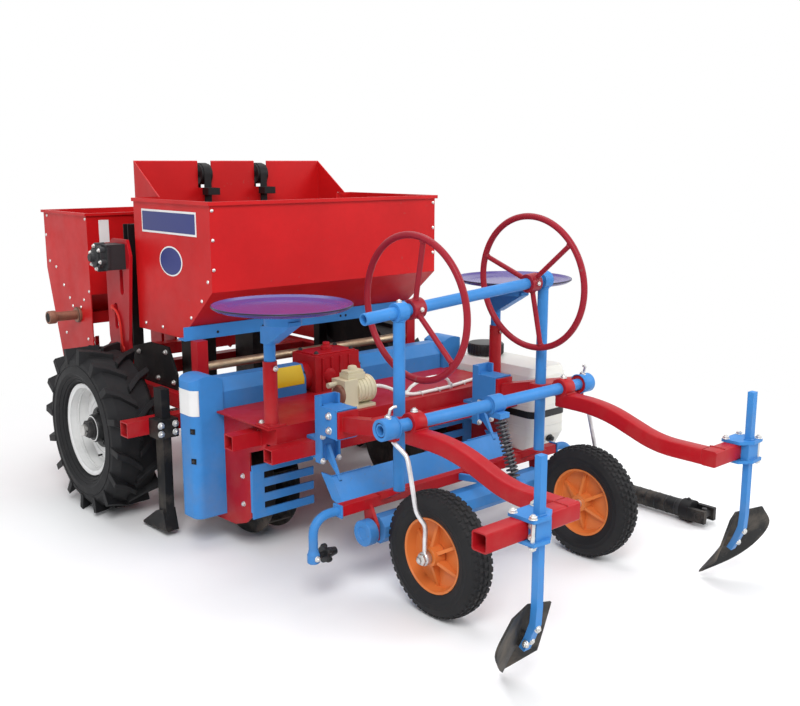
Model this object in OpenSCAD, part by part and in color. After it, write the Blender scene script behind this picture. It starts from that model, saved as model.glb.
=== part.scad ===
// Two-row potato planter for a tractor's three-point hitch: seed and fertilizer
// hoppers on drive wheels, a ridging tiller, seats, a film frame and covering shovels.
// Millimetres. X to the right, Y to the front, Z up from the ground.

/* [Drive wheels] */
// Outer diameter of a drive tyre over its lugs
drive_d = 590; // [570:1:610]
// Width of a drive tyre
drive_w = 180; // [165:1:185]
// Middle of each drive wheel from the middle of the machine
drive_x = 615; // [612:1:640]
// Height of a tread lug
lug_h = 24; // [16:1:26]
// Thickness of a tread lug
lug_t = 22; // [16:1:26]
// Lugs along each side of a drive tyre
lug_count = 16; // [12:1:18]
// Rim diameter as a share of the tyre
rim_share = 0.525; // [0.5:0.005:0.56]
// Diameter of the drive axle
axle_d = 40; // [32:1:45]
// Length of the drive axle, end to end
axle_len = 1390; // [1370:1:1420]

/* [Press wheels] */
// Outer diameter of a press wheel
press_d = 355; // [340:1:360]
// Width of a press wheel
press_w = 86; // [70:1:90]
// Middle of each press wheel from the middle of the machine
press_x = 320; // [315:1:325]
// Rim diameter of a press wheel
press_rim_d = 212; // [190:1:230]
// Diameter of the bent rods that carry the press wheels
rod_d = 13; // [12:1:16]

/* [Seed hopper] */
// Half the width of the seed hopper
seed_x = 480; // [470:1:484]
// Height of the seed hopper's rim
seed_top = 1100; // [1080:1:1130]
// Height of the fold in its rear wall
seed_fold = 817; // [790:1:850]
// Height of its floor
seed_floor = 645; // [640:1:660]
// Height of the raised wall in front of the seed
seed_wall = 1226; // [1200:1:1240]
// Half the width of the raised wall
bay_x = 411; // [400:1:414]
// Thickness of the hopper sheet
sheet = 4; // [3:0.5:5]
// Width of the folded rim
rim_w = 8; // [6:1:12]

/* [Cup chains] */
// Distance of each seed row from the middle of the machine
row_x = 125; // [110:1:140]
// Width of a seed cup
cup_w = 50; // [44:1:56]
// Distance between seed cups
cup_pitch = 76; // [70:1:90]

/* [Fertilizer hopper] */
// Half the width of the fertilizer hopper
fert_x = 520; // [515:1:526]
// Height of its rim
fert_top = 1035; // [1010:1:1060]
// Height where its front starts to slope
fert_fold = 806; // [780:1:830]
// Height of the lowest point of its floor
fert_low = 652; // [640:1:660]

/* [Frame] */
// Side of the square frame tubes
tube = 50; // [40:1:50]
// Underside of the main frame
frame_z = 395; // [392:1:400]
// Distance from the middle to the centre of each side rail
rail_x = 455; // [450:1:458]
// Side of the rear tool beam
beam = 50; // [40:1:50]
// Length of the rear tool beam, end to end
beam_len = 1400; // [1380:1:1410]

/* [Hitch] */
// Distance between the shoulders of the lower hitch pins
hitch_span = 683; // [660:1:700]
// Diameter of the lower hitch pins
lower_pin_d = 22; // [20:0.5:24]
// Free length of a lower hitch pin
lower_pin_len = 75; // [60:1:85]
// Hole for the top link pin
top_hole_d = 19.5; // [19:0.1:22]
// Height of the lower pins above the ground
lower_pin_z = 420; // [416:1:424]
// Height of the mast from the lower pins to the top link
mast_h = 460; // [440:1:480]
// Diameter of the input shaft for the tractor's drive
input_d = 35; // [30:0.5:38]

/* [Ridging rotors] */
// Outer diameter of a rotor
rotor_d = 374; // [340:1:376]
// Diameter of a rotor shaft
rotor_shaft_d = 40; // [34:1:44]
// Paddles on each rotor
paddle_count = 6; // [4:1:8]

/* [Seats] */
// Diameter of a seat pan
seat_d = 405; // [380:1:410]
// Height of the middle of the seat pan
seat_z = 806; // [800:1:830]
// Side of the lower seat tube
post_t = 50; // [44:1:54]

/* [Film frame] */
// Diameter of the pivot tube
pivot_d = 36; // [32:1:40]
// Outer diameter of a film reel ring
ring_d = 430; // [400:1:440]
// Thickness of a reel ring's rod
ring_t = 20; // [14:1:22]
// Diameter of the reel tube
reel_d = 34; // [28:1:36]
// Slope of the reel tube in degrees
reel_tilt = 3.8; // [0:0.1:4.5]
// Diameter of the film roller
roller_d = 84; // [70:1:86]
// Diameter of the film arms' pipe
pipe_d = 26; // [20:1:30]

/* [Covering arms] */
// Side of the covering arms' tube
arm_t = 46; // [40:1:48]
// Width of a shovel blade
shovel_w = 198; // [180:1:210]

/* [Spray tank] */
// Width of the spray tank
tank_w = 185; // [170:1:190]
// Length of the spray tank
tank_l = 410; // [380:1:420]
// Height of the spray tank
tank_h = 310; // [290:1:320]
// Diameter of the tank's lid
lid_d = 140; // [120:1:150]

/* [Drive shaft] */
// Diameter of the loose drive shaft's tube
cardan_d = 60; // [50:1:64]
// Length of the loose drive shaft
cardan_len = 660; // [620:1:700]

/* [Hidden] */
$fn = 64;
// where the shared origin lies in the machine's own frame
origin_x = 80;
origin_y = -575;

// running clearance of a shaft in its bore
run = 0.05;
// standoff between parts that move past each other
air = 0.4;

drive_z = drive_d / 2;
drive_in = drive_x - drive_w / 2;
tread_r = drive_d / 2 - lug_h;
drive_rim_r = drive_d * rim_share / 2;
rim_half = drive_w / 2 - 28;

rail_in = rail_x - tube / 2;
rail_out = rail_x + tube / 2;
frame_top = frame_z + tube;
rail_front = 640;
cross_y = -445;
beam_y = -366;
seat_rail_z = 646;
beam_z = frame_z - beam;

seed_rear = -553;
seed_low_y = -350;
seed_front = -46;
bay_front = 76;
cheek_y = -104;

fert_rear = 258;
fert_front = 654;
fert_low_y = 372;
plate_low_y = 545;

upright_x = 425;
upright_t = 40;
upright_top = 1000;

end_x = 480;
cover_in = end_x + 3;
cover_out = cover_in + 108;
cover_rear = -602;
cover_front = -496;
cover_low = 105;
cover_top = 565;
cover_wall = 4;
cover_mid = (cover_rear + cover_front) / 2;

gear_box_x = [-128, 62];
gear_front = -480;

rotor_y = -550;
rotor_z = rotor_d / 2 + 5;
cross_z = 500;

deck_z = frame_top;
deck_t = 5;
deck_top = deck_z + deck_t;
deck_rear = -895;
deck_x = 510;
end_rear = -745;
grille_y = -752;

lower_rail_y = -939;
lower_rail_z = 356;
lower_rail = 44;

post_x = 483;
post_y = -870;
post_join = 610;
arm_top = 752;
seat_y = -946;
seat_x = 486;

clamp_x = 336;
clamp_rear = -965;
sleeve_rear = -1044;
pivot_y = -1318;
pivot_z = 523;
pivot_r = pivot_d / 2;
pivot_half = 439;
bracket_x = 413;
bracket_t = 42;

reel_post_x = 302;
reel_y = -1238;
reel_z = 838;
reel_post_low = 306;
ring_x = 245;

press_y = -1422;
press_z = press_d / 2;
rod_x = 388;
hub_x = 373;
stub_d = 26;

frame_bar_y = -1165;
frame_bar_z = 264;
frame_bar_half = 461;
frame_bar_t = 30;
roller_y = -1188;
roller_z = 185;
roller_half = 345;
roller_pin_d = 20;
plug_x = 553;
plug_z = 150;
plug_grip = 18;
lever_y = -1405;
lever_z = 300;

arm_x = 318;
arm_end_y = -1850;
arm_end_z = 418;
shovel_x = 453;
stub_left = 613;
stub_right = 500;
sleeve_d = 62;

tank_x = 531;
tank_rear = -1018;
tank_z = 190;
lid_y = -690;

cardan_x = 825;
cardan_rear = -1560;

// four corners of a strip of thickness t to the left of the line from a to b
function strip(a, b, t) =
  let (d = b - a, n = [-d[1], d[0]] / norm(d) * t) [a, b, b + n, a + n];

// moves the machine to the shared origin
module place() {
  translate([-origin_x, -origin_y, 0]) children();
}

// the same piece on the right and, mirrored, on the left
module both() {
  children();
  mirror([1, 0, 0]) children();
}

// a right-hand piece put on the given side, -1 left or 1 right
module on_side(s) {
  if (s < 0) mirror([1, 0, 0]) children();
  else children();
}

module box(a, b) {
  translate(a) cube(b - a);
}

// plate in a fore-and-aft plane, outline given as [y, z]
module side_plate(x, t, outline) {
  translate([x, 0, 0]) rotate([90, 0, 90]) linear_extrude(t) polygon(outline);
}

// round bar across the machine
module bar_x(x0, x1, y, z, d) {
  translate([x0, y, z]) rotate([0, 90, 0]) cylinder(d = d, h = x1 - x0);
}

// round bar from one point to another, with a slightly fuller ball at each bend
module rod(a, b, d) {
  v = b - a;
  ball = d * 1.08;
  translate(a) rotate([0, acos(v[2] / norm(v)), atan2(v[1], v[0])]) cylinder(d = d, h = norm(v));
  translate(a) sphere(d = ball);
  translate(b) sphere(d = ball);
}

// lays a wheel turned about Z on its axle, outer face to the right
module as_wheel(x, y, z) {
  translate([x, y, z]) rotate([0, 90, 0]) children();
}

// frame tubes: [x0, x1, y0, y1, z0] with the tube's own height
module chassis() {
  tubes = [
    [rail_in, rail_out, cross_y + tube, rail_front, frame_z],
    [-rail_out, -rail_in, cross_y + tube, rail_front, frame_z],
    [-rail_out, rail_out, cross_y, cross_y + tube, frame_z],
    [-rail_in, rail_in, 234, 234 + tube, frame_z],
    [-rail_in, rail_in, rail_front - tube, rail_front, frame_z]
  ];
  color("firebrick") {
    for (t = tubes) box([t[0], t[2], t[4]], [t[1], t[3], t[4] + tube]);
    difference() {
      box([-beam_len / 2, beam_y, beam_z], [beam_len / 2, beam_y + beam, frame_z]);
      box([-beam_len / 2 - 1, beam_y + sheet, beam_z + sheet],
          [beam_len / 2 + 1, beam_y + beam - sheet, frame_z - sheet]);
    }
    both() {
      box([rail_out - 40, cross_y, frame_top], [rail_out, cross_y + 40, seat_rail_z]);
      box([rail_out, 470, frame_top - 12], [fert_x - sheet, 560, frame_top]);
      difference() {
        side_plate(rail_x - 8, 16, [[-70, frame_z], [70, frame_z], [45, drive_z - 40], [-45, drive_z - 40]]);
        bar_x(rail_x - 20, rail_x + 20, 0, drive_z, axle_d);
      }
    }
  }
}

// mast, lower link plates and their pins
module hitch() {
  pin_y = 730;
  mast_y = 700;
  top_z = lower_pin_z + mast_h;
  plate_t = 16;
  color("firebrick") {
    both() {
      side_plate(hitch_span / 2 - plate_t, plate_t,
        [[rail_front, frame_z], [pin_y + 25, lower_pin_z - 25], [pin_y + 25, lower_pin_z + 25],
         [rail_front, frame_top + 60]]);
      bar_x(hitch_span / 2 - 1, hitch_span / 2 + lower_pin_len, pin_y, lower_pin_z, lower_pin_d);
      difference() {
        side_plate(26, 12,
          [[rail_front, frame_z], [mast_y + 40, frame_z], [mast_y + 40, top_z + 32],
           [mast_y - 25, top_z + 32], [mast_y - 25, frame_top + 80], [rail_front, frame_top + 80]]);
        bar_x(20, 50, mast_y + 8, top_z, top_hole_d);
      }
      translate([0, rail_front, 0]) rotate([90, 0, 180]) linear_extrude(12)
        polygon(strip([-36, frame_top + 260], [-hitch_span / 2 + 2, frame_z + 8], 40));
    }
    box([-hitch_span / 2, rail_front, frame_z], [hitch_span / 2, rail_front + 12, frame_top]);
    box([-27, mast_y - 25, top_z - 120], [27, mast_y - 13, top_z - 60]);
  }
}

module axle() {
  color("silver") bar_x(-axle_len / 2, axle_len / 2, 0, drive_z, axle_d);
}

// posts in front of the seed hopper and the plates beside the frame
module uprights() {
  x0 = upright_x - upright_t / 2;
  color("dimgray") both() {
    difference() {
      box([x0, bay_front, frame_top], [x0 + upright_t, bay_front + upright_t, upright_top]);
      box([x0 + 6, bay_front + 6, frame_top - 1], [x0 + upright_t + 1, bay_front + upright_t - 6, upright_top + 1]);
    }
    difference() {
      side_plate(x0 + upright_t, 8,
        [[-250, frame_top], [165, frame_top], [165, 534], [-60, 590], [-195, 590], [-250, 500]]);
      side_plate(x0 + upright_t - 1, 10, [[14, 464], [112, 452], [106, 505]]);
    }
  }
}

// metering gearbox on the left and the fertilizer shaft's stub
module metering() {
  side = -fert_x;
  gear_y = 11;
  gear_z = 896;
  shaft_z = fert_low - 6;
  color("dimgray") {
    box([side - 62, gear_y - 42, gear_z - 44], [side + 8, gear_y + 42, gear_z + 44]);
    bar_x(side - 80, side - 61, gear_y + 6, gear_z, 84);
    bar_x(side - 104, side - 79, gear_y + 6, gear_z, 26);
  }
  color("peru") {
    bar_x(side - 112, side, fert_low_y, shaft_z, 34);
    bar_x(side - 122, side - 98, fert_low_y, shaft_z, 48);
    bar_x(side - 12, side, fert_low_y, shaft_z, 58);
  }
}

// slotted plates between the axle and the metering shaft
module chain_arms() {
  slots = [[10, 770], [66, 640]];
  slot_w = 26;
  slot_len = 70;
  color("firebrick") both() difference() {
    side_plate(fert_x - 20, 12,
      [[-45, drive_z - 30], [45, drive_z - 30], [130, 600], [130, 900], [70, 955], [-40, 955], [-60, 900], [-24, 600]]);
    bar_x(fert_x - 40, fert_x, 0, drive_z, axle_d);
    for (s = slots) {
      bar_x(fert_x - 40, fert_x, s[0], s[1], slot_w);
      bar_x(fert_x - 40, fert_x, s[0], s[1] + slot_len, slot_w);
      box([fert_x - 40, s[0] - slot_w / 2, s[1]], [fert_x, s[0] + slot_w / 2, s[1] + slot_len]);
    }
  }
}

// open box with a sloping rear and a raised bay for the cup chains
module seed_hopper() {
  m = (seed_fold - seed_floor) / (seed_low_y - seed_rear);
  shift = sheet * sqrt(1 + m * m);
  low = seed_floor + sheet;
  slot_w = cup_w + 8;
  lip = 12;
  outer = [[seed_rear, seed_top], [seed_rear, seed_fold], [seed_low_y, seed_floor],
           [seed_front, seed_floor], [seed_front, seed_top]];
  inner = [[seed_rear + sheet, seed_top + 1], [seed_rear + sheet, seed_fold - m * sheet + shift],
           [seed_rear + (seed_fold + shift - low) / m, low],
           [seed_front - sheet, low], [seed_front - sheet, seed_top + 1]];
  bay = [[cheek_y, seed_top], [seed_front, seed_floor], [bay_front, seed_floor], [bay_front, seed_wall]];
  color("red") difference() {
    union() {
      side_plate(-seed_x, 2 * seed_x, outer);
      side_plate(-bay_x, 2 * bay_x, bay);
      box([-seed_x - rim_w, seed_rear - rim_w, seed_top - lip], [seed_x + rim_w, seed_rear + 1, seed_top]);
      both() box([seed_x - 1, seed_rear - rim_w, seed_top - lip], [seed_x + rim_w, seed_front, seed_top]);
    }
    difference() {
      union() {
        side_plate(-seed_x + sheet, 2 * (seed_x - sheet), inner);
        box([-bay_x + sheet, seed_front - 60, low], [bay_x - sheet, bay_front - sheet, seed_wall + 1]);
      }
      side_plate(-sheet / 2, sheet,
        [[seed_rear, seed_fold], [seed_low_y, seed_floor], [bay_front, seed_floor],
         [bay_front, seed_top - 60], [seed_rear, seed_top - 60]]);
    }
    both() box([row_x - slot_w / 2, bay_front - 20, seed_wall - 100],
               [row_x + slot_w / 2, bay_front + 20, seed_wall + 1]);
  }
}

// one strand up inside the hopper, over the top wheel and down the front
module cup_chains() {
  rear_y = 48;
  front_y = 132;
  top_z = seed_wall - 50;
  low_z = 700;
  belt_t = 6;
  mid_y = (rear_y + front_y) / 2;
  r = (front_y - rear_y) / 2;
  color("dimgray") both() {
    difference() {
      union() {
        box([row_x - 14, rear_y, low_z], [row_x + 14, front_y, top_z]);
        bar_x(row_x - 14, row_x + 14, mid_y, top_z, 2 * r);
      }
      box([row_x - 20, rear_y + belt_t, low_z - 1], [row_x + 20, front_y - belt_t, top_z]);
      bar_x(row_x - 20, row_x + 20, mid_y, top_z, 2 * (r - belt_t));
    }
    bar_x(row_x - cup_w / 2 + 2, row_x + cup_w / 2 - 2, mid_y, top_z, 2 * r - belt_t);
    box([row_x + 60, bay_front, top_z - 36], [row_x + 72, mid_y + 22, top_z + 36]);
    for (z = [low_z + 20 : cup_pitch : top_z - 60]) difference() {
      box([row_x - cup_w / 2, rear_y - 42, z], [row_x + cup_w / 2, rear_y + 1, z + 26]);
      box([row_x - cup_w / 2 + 4, rear_y - 38, z + 4], [row_x + cup_w / 2 - 4, rear_y - 4, z + 27]);
    }
  }
  color("dimgray") bar_x(-row_x - 70, row_x + 70, mid_y, top_z, 24);
}

// casings that drop the seed, with a furrow shoe at the foot of each
module seed_ducts() {
  w = cup_w + 28;
  y0 = 100;
  y1 = 234;
  wall = 3;
  color("dimgray") both() difference() {
    union() {
      box([row_x - w / 2, y0, 150], [row_x + w / 2, y1, 1050]);
      side_plate(row_x - 15, 30, [[y0, 190], [y0, 30], [y1 + 70, 12], [y1 + 60, 60], [y1, 190]]);
    }
    box([row_x - w / 2 + wall, y0 + wall, 150 + wall], [row_x + w / 2 - wall, y1 - wall, 1051]);
  }
}

// side plates, walls and a V floor
module fertilizer_hopper() {
  low = [fert_low_y, fert_low];
  color("red") {
    both() side_plate(fert_x - sheet, sheet,
      [[fert_rear, frame_top], [plate_low_y, frame_top], [fert_front, fert_fold],
       [fert_front, fert_top], [fert_rear, fert_top]]);
    x0 = -fert_x + sheet;
    w = 2 * (fert_x - sheet);
    side_plate(x0, w, strip([fert_front, fert_fold - sheet], [fert_front, fert_top], sheet));
    side_plate(x0, w, strip([fert_rear + sheet, fert_low + 80], [fert_rear + sheet, fert_top], sheet));
    side_plate(x0, w, strip(low, [fert_front - 1, fert_fold], sheet));
    side_plate(x0, w, strip([fert_rear + 1, fert_low + 90], low, sheet));
    box([x0, fert_low_y - 40, fert_low - 40], [x0 + w, fert_low_y + 30, fert_low + 4]);
    box([-fert_x - rim_w, fert_front - 1, fert_top - 10], [fert_x + rim_w, fert_front + rim_w, fert_top]);
    box([-fert_x - rim_w, fert_rear - rim_w, fert_top - 10], [fert_x + rim_w, fert_rear + 1, fert_top]);
    both() box([fert_x - 1, fert_rear - rim_w, fert_top - 10], [fert_x + rim_w, fert_front + rim_w, fert_top]);
  }
}

// carcass with two staggered rows of slanting lugs
module drive_tyre() {
  h = drive_w / 2;
  ri = drive_rim_r + air;
  b = rim_half - 7;
  half_t = lug_t / 2;
  bend = [[-30, h - 1], [-8, h * 0.5], [36, -5]];
  reach = sqrt(pow(drive_d / 2, 2) - pow(bend[2][0] + half_t, 2));
  carcass = [[ri, -b], [ri + 12, -b], [ri + 16, -rim_half - 8], [ri + 48, -h], [tread_r - 24, -h + 5],
             [tread_r, -h + 26], [tread_r + 6, 0], [tread_r, h - 26], [tread_r - 24, h - 5], [ri + 48, h],
             [ri + 16, rim_half + 8], [ri + 12, b], [ri, b]];
  lug = [[bend[0][0] - half_t, bend[0][1]], [bend[1][0] - half_t, bend[1][1]], [bend[2][0] - half_t, bend[2][1]],
         [bend[2][0] + half_t, bend[2][1]], [bend[1][0] + half_t, bend[1][1]], [bend[0][0] + half_t, bend[0][1]]];
  color("black") {
    rotate_extrude($fn = 96) polygon(carcass);
    for (s = [-1, 1], i = [0 : lug_count - 1])
      rotate([0, 0, (i + (s + 1) / 4) * 360 / lug_count])
        side_plate(tread_r - 34, reach - tread_r + 34, [for (p = lug) [p[0], s * p[1]]]);
  }
}

// steel rim, dished disc and hub
module drive_rim() {
  b = rim_half;
  r = drive_rim_r;
  hub_r = 46;
  bore = axle_d / 2 + run;
  outline = [[bore, -30], [hub_r, -30], [hub_r, -4], [r - 40, -4], [r - 7, -18], [r - 7, -b + 4], [r + 9, -b],
             [r + 10, -b + 5], [r, -b + 6], [r, b - 6], [r + 10, b - 5], [r + 9, b], [r - 7, b - 4],
             [r - 7, -8], [r - 38, 5], [hub_r, 5], [hub_r, 44], [bore, 44]];
  color("white") rotate_extrude($fn = 96) polygon(outline);
}

// tine behind each drive wheel, clamped to the tool beam
module shanks() {
  x0 = 572;
  t = 30;
  face = beam_y;
  color("dimgray") both() {
    side_plate(x0, t, [[face - 50, 40], [face, 60], [face, 500], [face - 50, 500]]);
    side_plate(x0 - 8, t + 16, [[face - 60, 20], [-262, 8], [-262, 16], [face + 8, 78], [face - 40, 92]]);
    box([x0 - 22, face - 62, beam_z - 6], [x0, face, beam_z + beam + 6]);
    box([x0 + t, face - 62, beam_z - 6], [x0 + t + 22, face, beam_z + beam + 6]);
    box([x0 - 22, face - 62, beam_z - 6], [x0 + t + 22, face - 50, beam_z + beam + 6]);
  }
}

// angle under the seed hopper's slope
module angle_rail() {
  m = (seed_fold - seed_floor) / (seed_low_y - seed_rear);
  y1 = cross_y + 40;
  top = seed_floor + m * (seed_low_y - y1);
  color("steelblue") {
    box([-505, y1 - 6, seat_rail_z], [505, y1, top]);
    box([-505, y1, seat_rail_z], [505, y1 + 36, seat_rail_z + 6]);
  }
}

// plan of a chain cover with round outer edges, shrunk all round by g
module cover_plan(g) {
  c = 30 - g;
  x0 = cover_in + g;
  x1 = cover_out - g;
  y0 = cover_rear + g;
  y1 = cover_front - g;
  translate([x0, y0]) square([x1 - c - x0, y1 - y0]);
  translate([x0, y0 + c]) square([x1 - x0, y1 - y0 - 2 * c]);
  for (y = [y0 + c, y1 - c]) translate([x1 - c, y]) circle(c);
}

// a chain cover's body with an arched top, shrunk all round by g
module cover_body(g) {
  arch = 96;
  mid = (cover_in + cover_out) / 2;
  spring_z = cover_top - arch;
  intersection() {
    translate([0, 0, cover_low + g]) linear_extrude(cover_top - cover_low) cover_plan(g);
    union() {
      box([cover_in - 1, cover_rear - 1, cover_low], [cover_out + 1, cover_front + 1, spring_z]);
      translate([mid, cover_mid, spring_z]) rotate([90, 0, 0]) cylinder(r = arch - g, h = 200, center = true);
    }
  }
}

// chain cases down to the rotors
module chain_covers() {
  color("steelblue") both() difference() {
    union() {
      difference() {
        cover_body(0);
        cover_body(cover_wall);
      }
      bar_x(cover_in, cover_in + 50, rotor_y, rotor_z, rotor_shaft_d + 30);
      bar_x(cover_in, cover_in + 40, cover_mid, cross_z, 70);
    }
    bar_x(cover_in - 1, cover_in + 46, rotor_y, rotor_z, rotor_shaft_d + 2 * run);
    bar_x(cover_in - 1, cover_in + 36, cover_mid, cross_z, 35);
  }
}

// bevel gearbox in the middle of the tiller
module gearbox() {
  x0 = gear_box_x[0];
  x1 = gear_box_x[1];
  color("firebrick") {
    difference() {
      union() {
        box([x0, cover_rear - 10, deck_top], [x1, gear_front, cross_z + 75]);
        bar_x(x0 - 18, x1 + 18, cover_mid, cross_z, 96);
      }
      bar_x(x0 - 20, x1 + 20, cover_mid, cross_z, 35);
    }
    translate([0, gear_front, cross_z]) rotate([-90, 0, 0]) cylinder(d = 80, h = 16);
    translate([(x0 + x1) / 2, cover_mid, cross_z + 75]) cylinder(d = 40, h = 14);
  }
}

// cross shaft, tractor input and the lay shaft in front of the hoods
module shafts() {
  lay_y = cross_y + 20;
  lay_z = 556;
  color("tan") {
    bar_x(-cover_in - 30, cover_in + 30, cover_mid, cross_z, 35);
    bar_x(-rail_out + 40, rail_out - 40, lay_y, lay_z, 30);
    translate([0, gear_front + 16, cross_z]) rotate([-90, 0, 0]) cylinder(d = input_d, h = 95);
  }
}

// folded guards over the cross shaft
module hoods() {
  w = 3;
  y0 = cover_rear + 10;
  y1 = cover_front - 4;
  spans = [[-end_x + 2, gear_box_x[0] - 24], [gear_box_x[1] + 24, end_x - 2]];
  section = [[y0, deck_top], [y0, 505], [y0 + 20, 548], [y1 - 26, 548], [y1, 505], [y1, deck_top]];
  inside = [[y0 + w, deck_top - 1], [y0 + w, 504], [y0 + 22, 548 - w], [y1 - 28, 548 - w], [y1 - w, 504],
            [y1 - w, deck_top - 1]];
  color("steelblue") for (x = spans) difference() {
    side_plate(x[0], x[1] - x[0], section);
    side_plate(x[0] - 1, x[1] - x[0] + 2, inside);
  }
}

// sprayer pump on the deck
module pump() {
  x0 = -145;
  y0 = -840;
  z0 = deck_top + 54;
  color("ivory") {
    box([x0 - 70, y0 - 38, deck_top], [x0 + 60, y0 + 38, deck_top + 10]);
    box([x0 - 62, y0 - 34, deck_top + 9], [x0 - 8, y0 + 34, deck_top + 96]);
    bar_x(x0 - 9, x0 + 62, y0, z0, 84);
    bar_x(x0 + 61, x0 + 72, y0, z0, 40);
    box([x0 - 40, y0 - 22, deck_top + 92], [x0 + 30, y0 + 22, deck_top + 112]);
    bar_x(x0 - 96, x0 - 61, y0 + 10, deck_top + 80, 18);
  }
}

// deck plate, its beams, the end plates and the tank's carrier
module deck() {
  wall = 4;
  stubs = [[-585, -end_x], [end_x, 525]];
  stub_y = -815;
  stub_z = 380;
  outline = [[cross_y - 2, deck_z], [cross_y - 2, 330], [-500, 90], [-523, 76], [-653, 82], [-715, 104],
             [end_rear, 130], [end_rear, 340], [deck_rear + 57, 372], [deck_rear + 57, deck_z]];
  color("firebrick") {
    box([-cover_in, deck_rear, deck_z], [cover_in, cross_y - 2, deck_top]);
    both() {
      box([cover_in - 1, deck_rear, deck_z], [deck_x, cover_rear - 2, deck_top]);
      box([205, deck_rear, frame_z], [255, cross_y, deck_z]);
      difference() {
        side_plate(end_x - 3, 6, outline);
        bar_x(end_x - 10, end_x + 10, rotor_y, rotor_z, rotor_shaft_d + 44);
      }
    }
    box([-cover_in, deck_rear, 389], [cover_in, deck_rear + 60, deck_z]);
    for (s = stubs) difference() {
      box([s[0], stub_y, stub_z], [s[1], stub_y + tube - 4, stub_z + tube - 4]);
      box([s[0] - 1, stub_y + wall, stub_z + wall], [s[1] + 1, stub_y + tube - 8, stub_z + tube - 8]);
    }
    difference() {
      box([-530, lower_rail_y, lower_rail_z], [530, deck_rear, lower_rail_z + lower_rail]);
      box([-531, lower_rail_y + wall, lower_rail_z + wall], [531, deck_rear - wall, lower_rail_z + lower_rail - wall]);
    }
    for (y = [-930, -720]) box([cover_in, y, tank_z - 40], [tank_x + tank_w, y + 40, tank_z]);
    box([cover_in, deck_rear, tank_z - 40], [cover_in + 20, end_rear + 40, deck_z]);
  }
}

// bars between the rotors and the board
module grilles() {
  low = 126;
  high = 300;
  t = 6;
  color("steelblue") both() {
    box([440, grille_y - t, low], [cover_in, grille_y, high]);
    for (z = [low : 49 : high - 26]) box([249, grille_y - t, z], [441, grille_y, z + 27]);
    box([end_x - 3, grille_y - 1, low + 20], [cover_in, end_rear, high - 20]);
  }
}

// shaft, two discs and the paddles between them
module rotor() {
  disc_x = [290, 385];
  disc_t = 6;
  color("black") {
    bar_x(262, cover_in + 44, rotor_y, rotor_z, rotor_shaft_d);
    bar_x(270, 405, rotor_y, rotor_z, rotor_shaft_d + 30);
    for (x = disc_x) bar_x(x - disc_t / 2, x + disc_t / 2, rotor_y, rotor_z, rotor_d);
    for (i = [0 : paddle_count - 1])
      translate([disc_x[0], rotor_y, rotor_z]) rotate([i * 360 / paddle_count + 15, 0, 0])
        box([0, -4, 30], [disc_x[1] - disc_x[0], 4, rotor_d / 2 - 6]);
  }
}

// lower seat tubes
module seat_posts() {
  h = post_t / 2;
  color("firebrick") both() difference() {
    union() {
      box([post_x - h, post_y - h, deck_top], [post_x + h, post_y + h, post_join]);
      box([post_x - h - 14, post_y - h, deck_top], [deck_x, post_y + h + 20, deck_top + 8]);
    }
    box([post_x - h + 4, post_y - h + 4, deck_top + 9], [post_x + h - 4, post_y + h - 4, post_join + 1]);
  }
}

// sliding seat tubes with the arm under the pan
module seat_arms() {
  h = post_t / 2 - 4;
  color("steelblue") both() {
    box([post_x - h, post_y - h, post_join - 120], [post_x + h, post_y + h, arm_top]);
    side_plate(post_x - 20, 40,
      [[post_y + h, arm_top - 50], [post_y + h, arm_top], [seat_y - 60, seat_z - 26],
       [seat_y - 60, seat_z - 38], [post_y - h, arm_top - 50]]);
    translate([seat_x, seat_y, seat_z - 40]) cylinder(d = 110, h = 40);
  }
}

// round seat pans with a rolled rim
module seats() {
  r = seat_d / 2;
  pan = [[0, 0], [r - 40, 2], [r - 12, 8], [r, 16], [r - 3, 21], [r - 14, 14], [r - 40, 8], [0, 6]];
  color("slateblue") both() translate([seat_x, seat_y, seat_z]) rotate_extrude($fn = 96) polygon(pan);
}

// clamps on the lower rail that carry the film frame
module clamps() {
  w = 38;
  wall = 8;
  low = 334;
  top = 540;
  color("steelblue") both() {
    difference() {
      box([clamp_x - w, clamp_rear, low], [clamp_x + w, lower_rail_y, top]);
      box([clamp_x - w + wall, clamp_rear - 1, low - 1], [clamp_x + w - wall, lower_rail_y - wall, top + 1]);
    }
    for (z = [lower_rail_z - 10, lower_rail_z + lower_rail])
      box([clamp_x - w, lower_rail_y - 1, z], [clamp_x + w, deck_rear - 1, z + 10]);
    box([clamp_x - w, sleeve_rear, 424], [clamp_x + w, clamp_rear + 1, 511]);
    box([clamp_x - 20, clamp_rear, 424], [clamp_x + 20, lower_rail_y - wall + 1, 511]);
    side_plate(clamp_x - 6, 12,
      [[-941, 385], [-957, 385], [-1012, 283.2], [-1000, 300], [-952, 345], [-941, 345]]);
  }
}

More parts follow.
